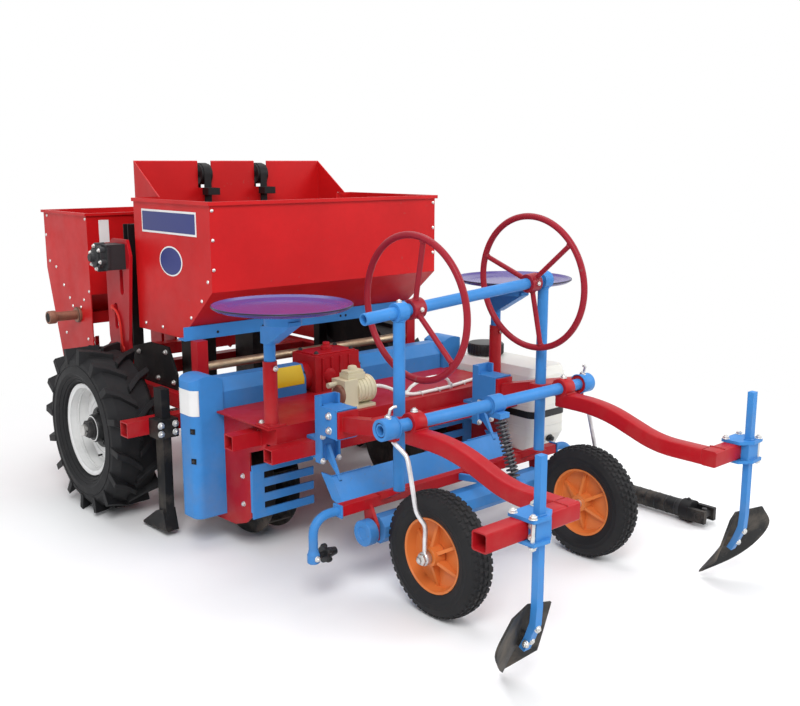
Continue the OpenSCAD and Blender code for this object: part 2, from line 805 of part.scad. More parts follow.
// plates from the clamps back to the pivot tube, with the reel posts' grips
module brackets() {
  half = bracket_t / 2;
  hub = 58;
  run_x = bracket_x - clamp_x;
  run_y = sleeve_rear - 4 - pivot_y;
  len = norm([run_x, run_y]);
  turn = atan2(run_x, run_y);
  color("firebrick") both() {
    box([clamp_x - 36, sleeve_rear - 10, 428], [clamp_x + 36, sleeve_rear, 507]);
    difference() {
      union() {
        translate([clamp_x, sleeve_rear - 4, 0]) rotate([0, 0, turn])
          side_plate(-half, bracket_t,
            [[-1.7, 446], [-1.7, 490], [-len, pivot_z + 22], [-len, pivot_z - 22]]);
        bar_x(bracket_x - half, bracket_x + half, pivot_y, pivot_z, hub);
        box([rod_x - 6, pivot_y - 12, pivot_z - 36], [rod_x + 18, pivot_y + 12, pivot_z - 18]);
      }
      bar_x(bracket_x - 60, bracket_x + 60, pivot_y, pivot_z, pivot_d);
    }
    difference() {
      box([reel_post_x - 24, reel_y - 26, 484], [bracket_x - 30, reel_y + 26, 526]);
      translate([reel_post_x, reel_y, 479]) cylinder(d = reel_d, h = 60);
    }
  }
}

// pivot tube with the spring's collar in the middle
module pivot_tube() {
  color("steelblue") {
    difference() {
      bar_x(-pivot_half, pivot_half, pivot_y, pivot_z, pivot_d);
      bar_x(-pivot_half - 1, pivot_half + 1, pivot_y, pivot_z, pivot_d - 10);
    }
    difference() {
      bar_x(-25, 25, pivot_y, pivot_z, pivot_d + 20);
      bar_x(-26, 26, pivot_y, pivot_z, pivot_d - 1);
    }
    box([-20, pivot_y - 44, pivot_z - 36], [20, pivot_y, pivot_z - pivot_r - 2]);
  }
}

// reel posts, the left one set lower, each with a bearing eye
module reel_posts() {
  color("steelblue") for (s = [-1, 1]) {
    z = reel_z + s * reel_post_x * tan(reel_tilt);
    difference() {
      union() {
        translate([s * reel_post_x, reel_y, reel_post_low])
          cylinder(d = reel_d, h = z - reel_post_low - reel_d / 2);
        translate([s * reel_post_x, reel_y, z]) rotate([0, 90 - reel_tilt, 0])
          cylinder(d = reel_d + 20, h = 36, center = true);
      }
      translate([s * reel_post_x, reel_y, z]) rotate([0, 90 - reel_tilt, 0])
        cylinder(d = reel_d + 2 * run, h = 60, center = true);
    }
  }
}

// turns a piece drawn about Z onto the sloping reel axis
module on_reel() {
  translate([0, reel_y, reel_z]) rotate([0, 90 - reel_tilt, 0]) children();
}

module reel_tube() {
  half = reel_post_x / cos(reel_tilt) + 30;
  color("steelblue") on_reel() difference() {
    cylinder(d = reel_d, h = 2 * half, center = true);
    cylinder(d = reel_d - 8, h = 2 * half + 2, center = true);
  }
}

// two spoked rings on the reel tube
module reel_rings() {
  r = ring_d / 2 - ring_t / 2;
  color("brown") on_reel() for (s = [-1, 1]) translate([0, 0, s * ring_x]) {
    rotate_extrude($fn = 96) translate([r, 0]) circle(d = ring_t, $fn = 32);
    difference() {
      union() {
        cylinder(d = reel_d + 24, h = 44, center = true);
        for (a = [30, 150, 270]) rotate([0, 90, a]) cylinder(d = ring_t * 0.8, h = r);
      }
      cylinder(d = reel_d, h = 60, center = true);
    }
  }
}

// lower bar, hangers from the reel posts and the roller's arms
module film_frame() {
  h = frame_bar_t / 2;
  color("firebrick") {
    box([-frame_bar_half, frame_bar_y - h, frame_bar_z - h], [frame_bar_half, frame_bar_y + h, frame_bar_z + h]);
    both() {
      side_plate(reel_post_x - 20, 40,
        [[frame_bar_y - h, frame_bar_z], [frame_bar_y + h, frame_bar_z + h], [reel_y + 17, reel_post_low],
         [reel_y - 17, reel_post_low]]);
      difference() {
        side_plate(roller_half + 8, 10,
          [[roller_y - 24, roller_z - 24], [roller_y + 24, roller_z - 24], [frame_bar_y + h, frame_bar_z],
           [frame_bar_y - h, frame_bar_z], [roller_y - 24, roller_z + 20]]);
        bar_x(roller_half, roller_half + 30, roller_y, roller_z, roller_pin_d + 2 * run);
      }
    }
  }
}

// bent pipes that hold the film roll and the lever under the spring
module film_arms() {
  y = frame_bar_y;
  h = frame_bar_t / 2;
  bend_x = plug_x - 36;
  bends = [[bend_x, y, frame_bar_z], [plug_x, y, frame_bar_z - 40], [plug_x, y, plug_z]];
  color("steelblue") {
    both() {
      bar_x(frame_bar_half, bend_x, y, frame_bar_z, pipe_d);
      for (i = [0, 1]) rod(bends[i], bends[i + 1], pipe_d);
      box([frame_bar_half, y - h - 4, frame_bar_z - h - 4], [frame_bar_half + 8, y + h + 4, frame_bar_z + h + 4]);
      box([plug_x - plug_grip, y - plug_grip, plug_z - 16], [plug_x + plug_grip, y + plug_grip, plug_z + 12]);
    }
    side_plate(-6, 12,
      [[y - h, frame_bar_z - 10], [y - h, frame_bar_z + 14], [lever_y - 20, lever_z + 6], [lever_y - 20, lever_z - 14]]);
    box([-30, lever_y - 26, lever_z - 2], [30, lever_y + 26, lever_z + 8]);
  }
}

// spindles with a flange and a cone that go into the film roll's core
module film_plugs() {
  color("black") both() translate([plug_x - plug_grip, frame_bar_y, plug_z]) rotate([0, -90, 0]) {
    cylinder(d = 18, h = 20);
    translate([0, 0, 14]) cylinder(d = 46, h = 10);
    translate([0, 0, 24]) cylinder(d1 = 34, d2 = 22, h = 34);
  }
}

module film_roller() {
  color("steelblue") {
    translate([-roller_half, roller_y, roller_z]) rotate([0, 90, 0]) rotate([0, 0, 22.5])
      cylinder(d = roller_d, h = 2 * roller_half, $fn = 8);
    bar_x(-roller_half - 22, roller_half + 22, roller_y, roller_z, roller_pin_d);
  }
}

// board that shapes the ridge, hung from the clamps
module board() {
  half = 360;
  color("steelblue") {
    side_plate(-half, 2 * half, strip([-1000, 300], [-1062, 213], 6));
    both() side_plate(half - 6, 6, [[-1000, 300], [-1062, 213], [-1000, 228], [-946, 300]]);
  }
}

// coil spring between the pivot collar and the lever
module spring() {
  foot = [0, lever_y, lever_z + 8 + 2.9];
  head = [0, pivot_y - 24, pivot_z - 36 - 2.9];
  turns = 7;
  v = head - foot;
  color("silver") translate(foot) rotate([0, acos(v[2] / norm(v)), atan2(v[1], v[0])]) {
    cylinder(d = 12, h = norm(v));
    translate([0, 0, 14]) linear_extrude(norm(v) - 28, twist = -360 * turns, slices = turns * 12, $fn = 6)
      translate([14, 0]) circle(d = 7, $fn = 6);
    translate([0, 0, 12]) cylinder(d = 38, h = 4);
    translate([0, 0, norm(v) - 16]) cylinder(d = 38, h = 4);
  }
}

// bent rods from the pivot tube to the press wheels
module press_rods() {
  ball = rod_d * 0.54;
  bends = [[rod_x + 6, pivot_y, pivot_z - 36 - ball], [rod_x - 2, pivot_y - 46, 452], [rod_x, press_y + 18, 304],
           [hub_x, press_y - 2, 270], [hub_x, press_y, press_z]];
  color("silver") both() {
    for (i = [0 : 3]) rod(bends[i], bends[i + 1], rod_d);
    bar_x(press_x - press_w / 2 - 8, hub_x + 12, press_y, press_z, stub_d);
  }
}

module press_tyre() {
  h = press_w / 2;
  r = press_d / 2;
  r0 = press_rim_d / 2;
  color("black") rotate_extrude($fn = 96)
    polygon([[r0, -h + 14], [r0 + 14, -h + 4], [r0 + 34, -h], [r - 18, -h + 6], [r - 5, -h + 20], [r, -h + 32],
             [r, h - 32], [r - 5, h - 20], [r - 18, h - 6], [r0 + 34, h], [r0 + 14, h - 4], [r0, h - 14]]);
}

// moulded rim with spokes
module press_rim() {
  h = press_w / 2;
  r0 = press_rim_d / 2;
  ribs = 6;
  color("orange") {
    rotate_extrude($fn = 96)
      polygon([[stub_d / 2 + run, -h + 4], [26, -h + 4], [30, -6], [r0 - 14, -6], [r0 - 7, -h + 14], [r0, -h + 14],
               [r0, h - 14], [r0 - 7, h - 14], [r0 - 14, 0], [30, 0], [26, h - 4], [stub_d / 2 + run, h - 4]]);
    for (i = [0 : ribs - 1], s = [-1, 1]) rotate([0, 0, i * 360 / ribs]) rotate([90, 0, 0])
      translate([0, 0, -5]) linear_extrude(10)
        polygon([[25, -3], [r0 - 11, -3], [r0 - 12, s * 6 - 3], [25, s * (h - 10) - 3]]);
  }
}

// covering arm from its sleeve to the cross stub
module arm(stub_end) {
  h = arm_t / 2;
  wall = 4;
  line = [[pivot_y + 12, 486], [-1475, 486], [-1675, arm_end_z], [arm_end_y, arm_end_z]];
  color("firebrick") {
    difference() {
      union() {
        bar_x(arm_x - h, arm_x + h, pivot_y, pivot_z, sleeve_d);
        for (i = [0 : 2]) side_plate(arm_x - h, arm_t,
          [line[i] - [0, h], line[i] + [0, h], line[i + 1] + [0, h], line[i + 1] - [0, h]]);
      }
      bar_x(arm_x - h - 1, arm_x + h + 1, pivot_y, pivot_z, pivot_d + 2 * run);
    }
    difference() {
      box([arm_x - h, arm_end_y - h, arm_end_z - h], [stub_end, arm_end_y + h, arm_end_z + h]);
      box([arm_x + h + 10, arm_end_y - h + wall, arm_end_z - h + wall],
          [stub_end + 1, arm_end_y + h - wall, arm_end_z + h - wall]);
    }
  }
}

// blue clamp and bent shovel post
module shovel_post() {
  w = 22;
  t = 18;
  h = arm_t / 2;
  y1 = arm_end_y - h;
  plate = [[shovel_x - 48, y1 + 50], [shovel_x - 48, y1 - 6], [shovel_x - 12, y1 - t - 14],
           [shovel_x + 40, y1 - t - 10], [shovel_x + 40, y1 + 50]];
  foot = [[y1 - t, 229], [y1 - t + 3, 185], [y1 - t + 19, 145], [y1 - t + 35, 112], [y1 + 33, 118],
          [y1 + 17, 152], [y1 + 3, 190], [y1, 229]];
  color("steelblue") {
    box([shovel_x - w / 2, y1 - t, 228], [shovel_x + w / 2, y1, 589]);
    side_plate(shovel_x - w / 2, w, foot);
    for (z = [arm_end_z + h, arm_end_z - h - 9]) translate([0, 0, z]) linear_extrude(9) polygon(plate);
    box([shovel_x - 26, y1 - t - 5, arm_end_z - h - 1], [shovel_x + 26, y1, arm_end_z + h + 1]);
  }
}

// one flat facet of the shovel blade between three corners
module facet(a, b, c, t) {
  hull() for (p = [a, b, c]) translate(p) cube(t, center = true);
}

// shovel blade: a short inner and a long outer wing on a ridge that runs to the tip
module shovel() {
  t = 6;
  y1 = arm_end_y - arm_t / 2;
  far = shovel_x - 59 + shovel_w;
  tip = [shovel_x - 16, y1 + 115, 14];
  mid = [shovel_x - 4, y1 + 49, 122];
  top = [shovel_x, y1 + 17, 226];
  in_low = [shovel_x - 60, y1 + 37, 86];
  in_top = [shovel_x - 59, y1 - 1, 221];
  out_low = [far - 84, y1 + 44, 66];
  out_mid = [far - 28, y1 + 4, 116];
  out_end = [far, y1 - 15, 170];
  out_top = [far - 49, y1 - 16, 231];
  color("dimgray") {
    facet(tip, mid, in_low, t);
    facet(mid, in_low, in_top, t);
    facet(mid, in_top, top, t);
    facet(tip, mid, out_low, t);
    facet(mid, out_low, out_mid, t);
    facet(mid, out_mid, out_end, t);
    facet(mid, out_end, out_top, t);
    facet(mid, out_top, top, t);
    side_plate(shovel_x - 9, 18, [[y1 + 33, 118], [y1 + 17, 152], [y1 + 40, 152], [y1 + 52, 118]]);
  }
}

// spray tank with sloping bottom and a threaded neck
module tank() {
  neck_x = tank_x + tank_w / 2;
  r = 36;
  color("ivory") {
    hull() for (x = [tank_x + r, tank_x + tank_w - r], y = [tank_rear + r, tank_rear + tank_l - r]) {
      translate([x, y, tank_z + 60]) cylinder(r = r, h = tank_h - 90, $fn = 32);
      translate([x, y, tank_z + 60]) cylinder(r = r - 12, h = tank_h - 60, $fn = 32);
      translate([x, y * 0.9 + (tank_rear + tank_l / 2) * 0.1, tank_z]) cylinder(r = r - 16, h = 10, $fn = 32);
    }
    translate([neck_x, lid_y, tank_z + tank_h - 2]) cylinder(d = lid_d - 20, h = 32);
  }
}

module tank_lid() {
  neck_x = tank_x + tank_w / 2;
  top = tank_z + tank_h;
  color("black") difference() {
    translate([neck_x, lid_y, top + 2]) cylinder(d = lid_d, h = 44);
    translate([neck_x, lid_y, top + 1]) cylinder(d = lid_d - 20 + 2 * air, h = 30);
  }
}

// drive shaft lying beside the machine, a yoke at each end
module drive_shaft() {
  z = cardan_d / 2 + 8;
  y1 = cardan_rear + cardan_len;
  color("black") {
    translate([cardan_x, cardan_rear + 90, z]) rotate([-90, 0, 0]) cylinder(d = cardan_d, h = cardan_len - 180);
    for (e = [[cardan_rear, 1], [y1, -1]]) translate([cardan_x, e[0], z]) rotate([-90 * e[1], 0, 0]) {
      translate([0, 0, 62]) cylinder(d = cardan_d + 16, h = 40);
      for (s = [-1, 1]) box([s * 30 - 8, -22, 0], [s * 30 + 8, 22, 64]);
      translate([0, 0, 22]) rotate([0, 90, 0]) cylinder(d = 24, h = 80, center = true);
    }
  }
}

place() {
  chassis();
  hitch();
  axle();
  uprights();
  metering();
  chain_arms();
  seed_hopper();
  cup_chains();
  seed_ducts();
  fertilizer_hopper();
  on_side(-1) as_wheel(drive_x, 0, drive_z) drive_tyre();  // drive_tyre_left
  on_side(1) as_wheel(drive_x, 0, drive_z) drive_tyre();  // drive_tyre_right
  on_side(-1) as_wheel(drive_x, 0, drive_z) drive_rim();  // drive_rim_left
  on_side(1) as_wheel(drive_x, 0, drive_z) drive_rim();  // drive_rim_right
  shanks();
  angle_rail();
  chain_covers();
  gearbox();
  shafts();
  hoods();
  pump();
  deck();
  grilles();
  on_side(-1) rotor();  // rotor_left
  on_side(1) rotor();  // rotor_right
  seat_posts();
  seat_arms();
  seats();
  clamps();
  brackets();
  pivot_tube();
  reel_posts();
  reel_tube();
  reel_rings();
  film_frame();
  film_arms();
  film_plugs();
  film_roller();
  board();
  spring();
  press_rods();
  on_side(-1) as_wheel(press_x, press_y, press_z) press_tyre();  // press_tyre_left
  on_side(1) as_wheel(press_x, press_y, press_z) press_tyre();  // press_tyre_right
  on_side(-1) as_wheel(press_x, press_y, press_z) press_rim();  // press_rim_left
  on_side(1) as_wheel(press_x, press_y, press_z) press_rim();  // press_rim_right
  on_side(-1) arm(stub_left);  // arm_left
  on_side(1) arm(stub_right);  // arm_right
  on_side(-1) shovel_post();  // shovel_post_left
  on_side(1) shovel_post();  // shovel_post_right
  on_side(-1) shovel();  // shovel_left
  on_side(1) shovel();  // shovel_right
  tank();
  tank_lid();
  drive_shaft();
}
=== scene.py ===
"""Looks of the two-row potato planter: materials, small parts, floor and light."""
import math

import bmesh
import bpy
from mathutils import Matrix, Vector


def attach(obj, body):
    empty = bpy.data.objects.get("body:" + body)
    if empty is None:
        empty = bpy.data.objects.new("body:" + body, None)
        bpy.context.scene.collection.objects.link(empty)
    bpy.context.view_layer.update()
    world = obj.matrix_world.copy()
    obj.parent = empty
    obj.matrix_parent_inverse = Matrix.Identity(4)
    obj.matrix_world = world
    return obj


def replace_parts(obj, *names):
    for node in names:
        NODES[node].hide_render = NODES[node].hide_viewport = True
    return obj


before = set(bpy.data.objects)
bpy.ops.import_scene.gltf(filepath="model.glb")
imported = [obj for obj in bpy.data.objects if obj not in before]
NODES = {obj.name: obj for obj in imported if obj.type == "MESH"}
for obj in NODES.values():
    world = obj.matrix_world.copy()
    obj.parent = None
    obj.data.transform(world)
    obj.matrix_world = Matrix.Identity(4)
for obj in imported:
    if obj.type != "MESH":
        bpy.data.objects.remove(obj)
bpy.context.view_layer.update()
scene = bpy.context.scene
scene.view_settings.view_transform = "Standard"

# The machine's own frame: x = 0 is its middle plane and y = 0 its drive axle, in millimetres.
ORIGIN = Vector((80.0, -575.0, 0.0))
SIDES = (("left", -1), ("right", 1))

# Places that several pieces share.
AXLE_Z = 295
GEAR_Y, GEAR_Z = 17, 896
GEARBOX_Y, GEARBOX_Z = -549, 500
PUMP_Y, PUMP_Z = -840, 504
POST_X, POST_Y = 483, -870
PIVOT_Y, PIVOT_Z = -1318, 523
PRESS_Y, PRESS_Z = -1422, 177.5
ROLL_Y, PLUG_Z = -1165, 150
ARM_X, ARM_END_Y, ARM_END_Z = 318, -1850, 418
REEL = Vector((0, -1238, 838))
REEL_TILT = math.radians(3.8)
REEL_DIR = Vector((math.cos(REEL_TILT), 0, math.sin(REEL_TILT)))


def mm(x, y, z):
    """A place in the shared frame, in metres."""
    return (Vector((x, y, z)) - ORIGIN) / 1000.0


# Camera at the photograph's viewpoint.
cam_data = bpy.data.cameras.new("camera")
cam_data.sensor_fit = "HORIZONTAL"
cam_data.sensor_width = 36.0
cam_data.lens = 43.94
cam_data.clip_end = 60.0
cam = bpy.data.objects.new("camera", cam_data)
cam.location = mm(-2055.6, -3223.7, 1222.9)
YAW, PITCH = math.radians(48.5), math.radians(11.1)
look = Vector((math.cos(YAW) * math.cos(PITCH), math.sin(YAW) * math.cos(PITCH), -math.sin(PITCH)))
cam.rotation_euler = look.to_track_quat("-Z", "Y").to_euler()
scene.collection.objects.link(cam)
scene.camera = cam


class Nodes:
    """Small helper around one material's node tree."""

    def __init__(self, name):
        self.mat = bpy.data.materials.new(name)
        self.mat.use_nodes = True
        self.tree = self.mat.node_tree
        self.bsdf = self.tree.nodes["Principled BSDF"]
        self.coord = self.tree.nodes.new("ShaderNodeTexCoord").outputs["Object"]

    def add(self, kind, **values):
        n = self.tree.nodes.new("ShaderNode" + kind)
        for key, value in values.items():
            if key in n.inputs:
                n.inputs[key].default_value = value
            else:
                setattr(n, key, value)
        return n

    def link(self, a, b):
        self.tree.links.new(a, b)

    def noise(self, scale, detail=4.0, rough=0.55, stretch=None):
        n = self.add("TexNoise", Scale=scale, Detail=detail, Roughness=rough)
        vec = self.coord
        if stretch:
            m = self.add("Mapping")
            m.inputs["Scale"].default_value = stretch
            self.link(vec, m.inputs["Vector"])
            vec = m.outputs["Vector"]
        self.link(vec, n.inputs["Vector"])
        return n.outputs["Fac"]

    def ramp(self, fac, low, high, a=0.0, b=1.0):
        m = self.add("MapRange", clamp=True)
        for key, value in (("From Min", low), ("From Max", high), ("To Min", a), ("To Max", b)):
            m.inputs[key].default_value = value
        self.link(fac, m.inputs["Value"])
        return m.outputs["Result"]

    def mix(self, fac, a, b):
        m = self.add("Mix", data_type="RGBA")
        self.link(fac, m.inputs[0])
        for sock, value in ((m.inputs[6], a), (m.inputs[7], b)):
            if hasattr(value, "is_output"):
                self.link(value, sock)
            else:
                sock.default_value = (*value, 1.0)
        return m.outputs[2]

    def math(self, op, a, b):
        m = self.add("Math", operation=op)
        for sock, value in zip(m.inputs, (a, b)):
            if hasattr(value, "is_output"):
                self.link(value, sock)
            else:
                sock.default_value = value
        return m.outputs[0]

    def edges(self, radius):
        """Rounded normal and a mask that is 1 along sharp edges."""
        bevel = self.add("Bevel", samples=4, Radius=radius)
        dot = self.add("VectorMath", operation="DOT_PRODUCT")
        self.link(bevel.outputs["Normal"], dot.inputs[0])
        self.link(self.add("NewGeometry").outputs["Normal"], dot.inputs[1])
        return bevel.outputs["Normal"], self.ramp(dot.outputs["Value"], 0.995, 0.90)

    def colour(self, value):
        self.link(value, self.bsdf.inputs["Base Color"])

    def rough(self, value):
        self.link(value, self.bsdf.inputs["Roughness"])

    def bump(self, height, strength, distance=0.001, normal=None):
        b = self.add("Bump", Strength=strength, Distance=distance)
        self.link(height, b.inputs["Height"])
        if normal:
            self.link(normal, b.inputs["Normal"])
        self.link(b.outputs["Normal"], self.bsdf.inputs["Normal"])


def shade(c, k):
    """A colour made darker or lighter."""
    return tuple(max(0.0, min(1.0, v * k)) for v in c)


def paint(name, c, gloss=0.34, dirt=0.2, chips=0.3, chip_c=(0.16, 0.13, 0.11), worn=0.5):
    """Sprayed paint: cloudy tone, orange peel, dust low down, small chips and worn edges."""
    n = Nodes(name)
    cloud = n.ramp(n.noise(3.2, 5.0), 0.35, 0.68)
    base = n.mix(cloud, shade(c, 0.88), shade(c, 1.08))
    fine = n.math("MULTIPLY", n.ramp(n.noise(46.0, 3.0), 0.42, 0.62), 0.14)
    base = n.mix(fine, base, shade(c, 0.78))
    sep = n.add("SeparateXYZ")
    n.link(n.coord, sep.inputs[0])
    low = n.ramp(sep.outputs["Z"], 0.05, 0.75, 1.0, 0.0)
    dust = n.math("MULTIPLY", n.math("MULTIPLY", low, n.ramp(n.noise(9.0, 6.0, 0.65), 0.46, 0.72)), dirt)
    base = n.mix(dust, base, (0.30, 0.25, 0.20))
    spots = n.math("MULTIPLY", n.ramp(n.noise(70.0, 2.0, 0.5), 0.70, 0.73), n.ramp(n.noise(5.0, 2.0), 0.50, 0.60))
    base = n.mix(n.math("MULTIPLY", spots, chips), base, chip_c)
    normal, edge = n.edges(0.0022)
    rub = n.math("MULTIPLY", n.math("MULTIPLY", edge, n.ramp(n.noise(18.0, 5.0, 0.7), 0.40, 0.66)), worn)
    base = n.mix(rub, base, tuple(0.55 * v + 0.10 for v in c))
    n.colour(base)
    sheen = n.ramp(n.noise(14.0, 4.0), 0.3, 0.7, gloss - 0.06, gloss + 0.10)
    n.rough(n.math("ADD", sheen, n.math("MULTIPLY", dust, 0.6)))
    n.bump(n.noise(260.0, 2.0), 0.10, 0.0006, normal)
    n.bsdf.inputs["Specular IOR Level"].default_value = 0.17
    return n.mat


def metal(name, c, rough=0.32, rust=0.0, rust_c=(0.30, 0.13, 0.06), shine=0.9, stretch=(1, 1, 1)):
    """Bare steel with drawn streaks and some rust bloom."""
    n = Nodes(name)
    streak = n.ramp(n.noise(40.0, 4.0, 0.6, stretch), 0.3, 0.7)
    bloom = n.math("MULTIPLY", n.ramp(n.noise(12.0, 6.0, 0.7), 0.45, 0.66), rust)
    n.colour(n.mix(bloom, n.mix(streak, shade(c, 0.80), shade(c, 1.10)), rust_c))
    n.link(n.ramp(bloom, 0.0, 1.0, shine, 0.05), n.bsdf.inputs["Metallic"])
    n.rough(n.math("ADD", n.ramp(streak, 0, 1, rough - 0.06, rough + 0.1), n.math("MULTIPLY", bloom, 0.35)))
    normal, _ = n.edges(0.0010)
    n.bump(streak, 0.12, 0.0005, normal)
    return n.mat


def rubber(name, c=(0.012, 0.012, 0.013)):
    """Tyre rubber: grey bloom, dusty patches and a fine moulded grain."""
    n = Nodes(name)
    bloom = n.ramp(n.noise(7.0, 6.0, 0.65), 0.40, 0.72)
    base = n.mix(bloom, c, shade(c, 1.7))
    dust = n.math("MULTIPLY", n.ramp(n.noise(24.0, 5.0, 0.7), 0.55, 0.75), 0.25)
    n.colour(n.mix(dust, base, (0.050, 0.045, 0.040)))
    n.rough(n.ramp(bloom, 0, 1, 0.52, 0.78))
    normal, _ = n.edges(0.004)
    n.bump(n.noise(420.0, 2.0), 0.22, 0.0006, normal)
    n.bsdf.inputs["Specular IOR Level"].default_value = 0.2
    return n.mat


def plastic(name, c, gloss=0.25, grain=300.0, bump=0.08, tone=0.06, glow=0.0):
    """Moulded plastic with faint flow marks and scuffs."""
    n = Nodes(name)
    flow = n.ramp(n.noise(4.0, 3.0, 0.5, (1.0, 1.0, 2.4)), 0.3, 0.7)
    base = n.mix(flow, shade(c, 1.0 - tone), shade(c, 1.0 + tone))
    scuff = n.math("MULTIPLY", n.ramp(n.noise(60.0, 4.0, 0.7, (1.0, 5.0, 1.0)), 0.62, 0.72), 0.18)
    n.colour(n.mix(scuff, base, shade(c, 0.72)))
    n.rough(n.math("ADD", n.ramp(flow, 0, 1, gloss - 0.04, gloss + 0.06), n.math("MULTIPLY", scuff, 0.6)))
    normal, _ = n.edges(0.0015)
    n.bump(n.noise(grain, 2.0), bump, 0.0005, normal)
    n.bsdf.inputs["Specular IOR Level"].default_value = 0.32
    n.bsdf.inputs["Subsurface Weight"].default_value = glow
    n.bsdf.inputs["Subsurface Radius"].default_value = (0.02, 0.018, 0.013)
    n.bsdf.inputs["Subsurface Scale"].default_value = 0.4
    return n.mat


M = {
    "hopper": paint("hopper_red", (0.56, 0.010, 0.012), 0.36, 0.10, 0.25),
    "red": paint("frame_red", (0.42, 0.008, 0.014), 0.36, 0.22),
    "blue": paint("sky_blue", (0.048, 0.24, 0.60), 0.38, 0.20),
    "ring": paint("ring_red", (0.30, 0.014, 0.026), 0.36, 0.10),
    "black": paint("black_paint", (0.012, 0.012, 0.013), 0.46, 0.30, worn=0.25),
    "share": paint("share_black", (0.020, 0.020, 0.020), 0.52, 0.45, 0.5, (0.22, 0.21, 0.20)),
    "white": paint("rim_white", (0.80, 0.80, 0.79), 0.36, 0.16, worn=0.2),
    "grey": paint("cast_grey", (0.030, 0.030, 0.032), 0.42, 0.20),
    "steel": metal("bare_steel", (0.60, 0.59, 0.57), 0.30),
    "rod": metal("zinc_rod", (0.74, 0.74, 0.75), 0.36, 0.10),
    "tan": metal("tan_shaft", (0.50, 0.40, 0.27), 0.40, 0.45),
    "rusty": metal("rusty_tube", (0.30, 0.15, 0.10), 0.45, 0.9, (0.24, 0.085, 0.05), 0.6),
    "zinc": metal("zinc_bolts", (0.74, 0.74, 0.72), 0.34, 0.15),
    "coil": metal("spring_steel", (0.10, 0.10, 0.11), 0.34, 0.0, shine=0.7),
    "tyre": rubber("tyre_rubber"),
    "orange": plastic("orange_rim", (0.68, 0.19, 0.045), 0.36),
    "seat": plastic("seat_shell", (0.075, 0.050, 0.23), 0.2, bump=0.04),
    "ivory": plastic("ivory_pump", (0.70, 0.63, 0.43), 0.36),
    "tank": plastic("tank_shell", (0.80, 0.79, 0.73), 0.38, 500.0, 0.05, 0.03, 0.2),
    "dark": plastic("black_plastic", (0.014, 0.014, 0.015), 0.36),
    # Near-black painted shade for the insides of holes, bores and slots; the tyre valve also uses it as its own black.
    "hole": plastic("hole_shade_valve_black", (0.004, 0.004, 0.004), 0.7),
    "hose": plastic("white_hose", (0.80, 0.79, 0.75), 0.38, 200.0, 0.06),
    "plate_blue": plastic("plate_blue", (0.020, 0.030, 0.17), 0.34),
    "plate_white": plastic("plate_white", (0.80, 0.80, 0.79), 0.40),
    "plate_yellow": plastic("plate_yellow", (0.80, 0.56, 0.012), 0.40),
    "lever": paint("lever_red", (0.62, 0.030, 0.022), 0.36, 0.1),
}

# The finish of each CAD node.
USES = {
    "hopper": ["seed_hopper", "fertilizer_hopper"],
    "red": ["chassis", "hitch", "chain_arms", "gearbox", "deck", "seat_posts", "brackets", "film_frame",
            "arm_left", "arm_right"],
    "blue": ["angle_rail", "chain_covers", "hoods", "grilles", "seat_arms", "clamps", "pivot_tube", "reel_posts",
             "reel_tube", "film_arms", "film_roller", "board", "shovel_post_left", "shovel_post_right"],
    "ring": ["reel_rings"],
    "black": ["uprights", "cup_chains", "seed_ducts", "shanks", "rotor_left", "rotor_right", "drive_shaft"],
    "share": ["shovel_left", "shovel_right"],
    "white": ["drive_rim_left", "drive_rim_right"],
    "steel": ["axle", "spring"],
    "rod": ["press_rods"],
    "tan": ["shafts"],
    "grey": ["metering"],
    "tyre": ["drive_tyre_left", "drive_tyre_right", "press_tyre_left", "press_tyre_right"],
    "orange": ["press_rim_left", "press_rim_right"],
    "seat": ["seats"],
    "ivory": ["pump"],
    "tank": ["tank"],
    "dark": ["tank_lid", "film_plugs"],
}
for key, names in USES.items():
    for name in names:
        mesh = NODES[name].data
        mesh.materials.clear()
        mesh.materials.append(M[key])


def smooth_line(points, step=12.0):
    """Points along a smooth curve through the given places, about a step apart."""
    p = [Vector(v) for v in points]
    p = [2 * p[0] - p[1]] + p + [2 * p[-1] - p[-2]]
    out = []
    for a, b, c, d in zip(p, p[1:], p[2:], p[3:]):
        n = max(2, round((c - b).length / step))
        for i in range(n):
            t = i / n
            out.append(0.5 * (2 * b + (c - a) * t + (2 * a - 5 * b + 4 * c - d) * t * t
                              + (3 * b - a - 3 * c + d) * t ** 3))
    return out + [p[-2]]


def around(count, first=0.0):
    """Cosines and sines at even steps of a full turn, from a first angle in degrees."""
    angles = [math.radians(first + 360.0 * i / count) for i in range(count)]
    return [(math.cos(a), math.sin(a)) for a in angles]


def spread(points, count):
    """Places spaced evenly along a line of points."""
    p = [Vector(v) for v in points]
    far = [0.0]
    for a, b in zip(p, p[1:]):
        far.append(far[-1] + (b - a).length)
    out = []
    for i in range(count):
        d = far[-1] * i / (count - 1)
        k = max(j for j in range(len(p) - 1) if far[j] <= d or j == 0)
        out.append(p[k].lerp(p[k + 1], (d - far[k]) / (far[k + 1] - far[k])))
    return out


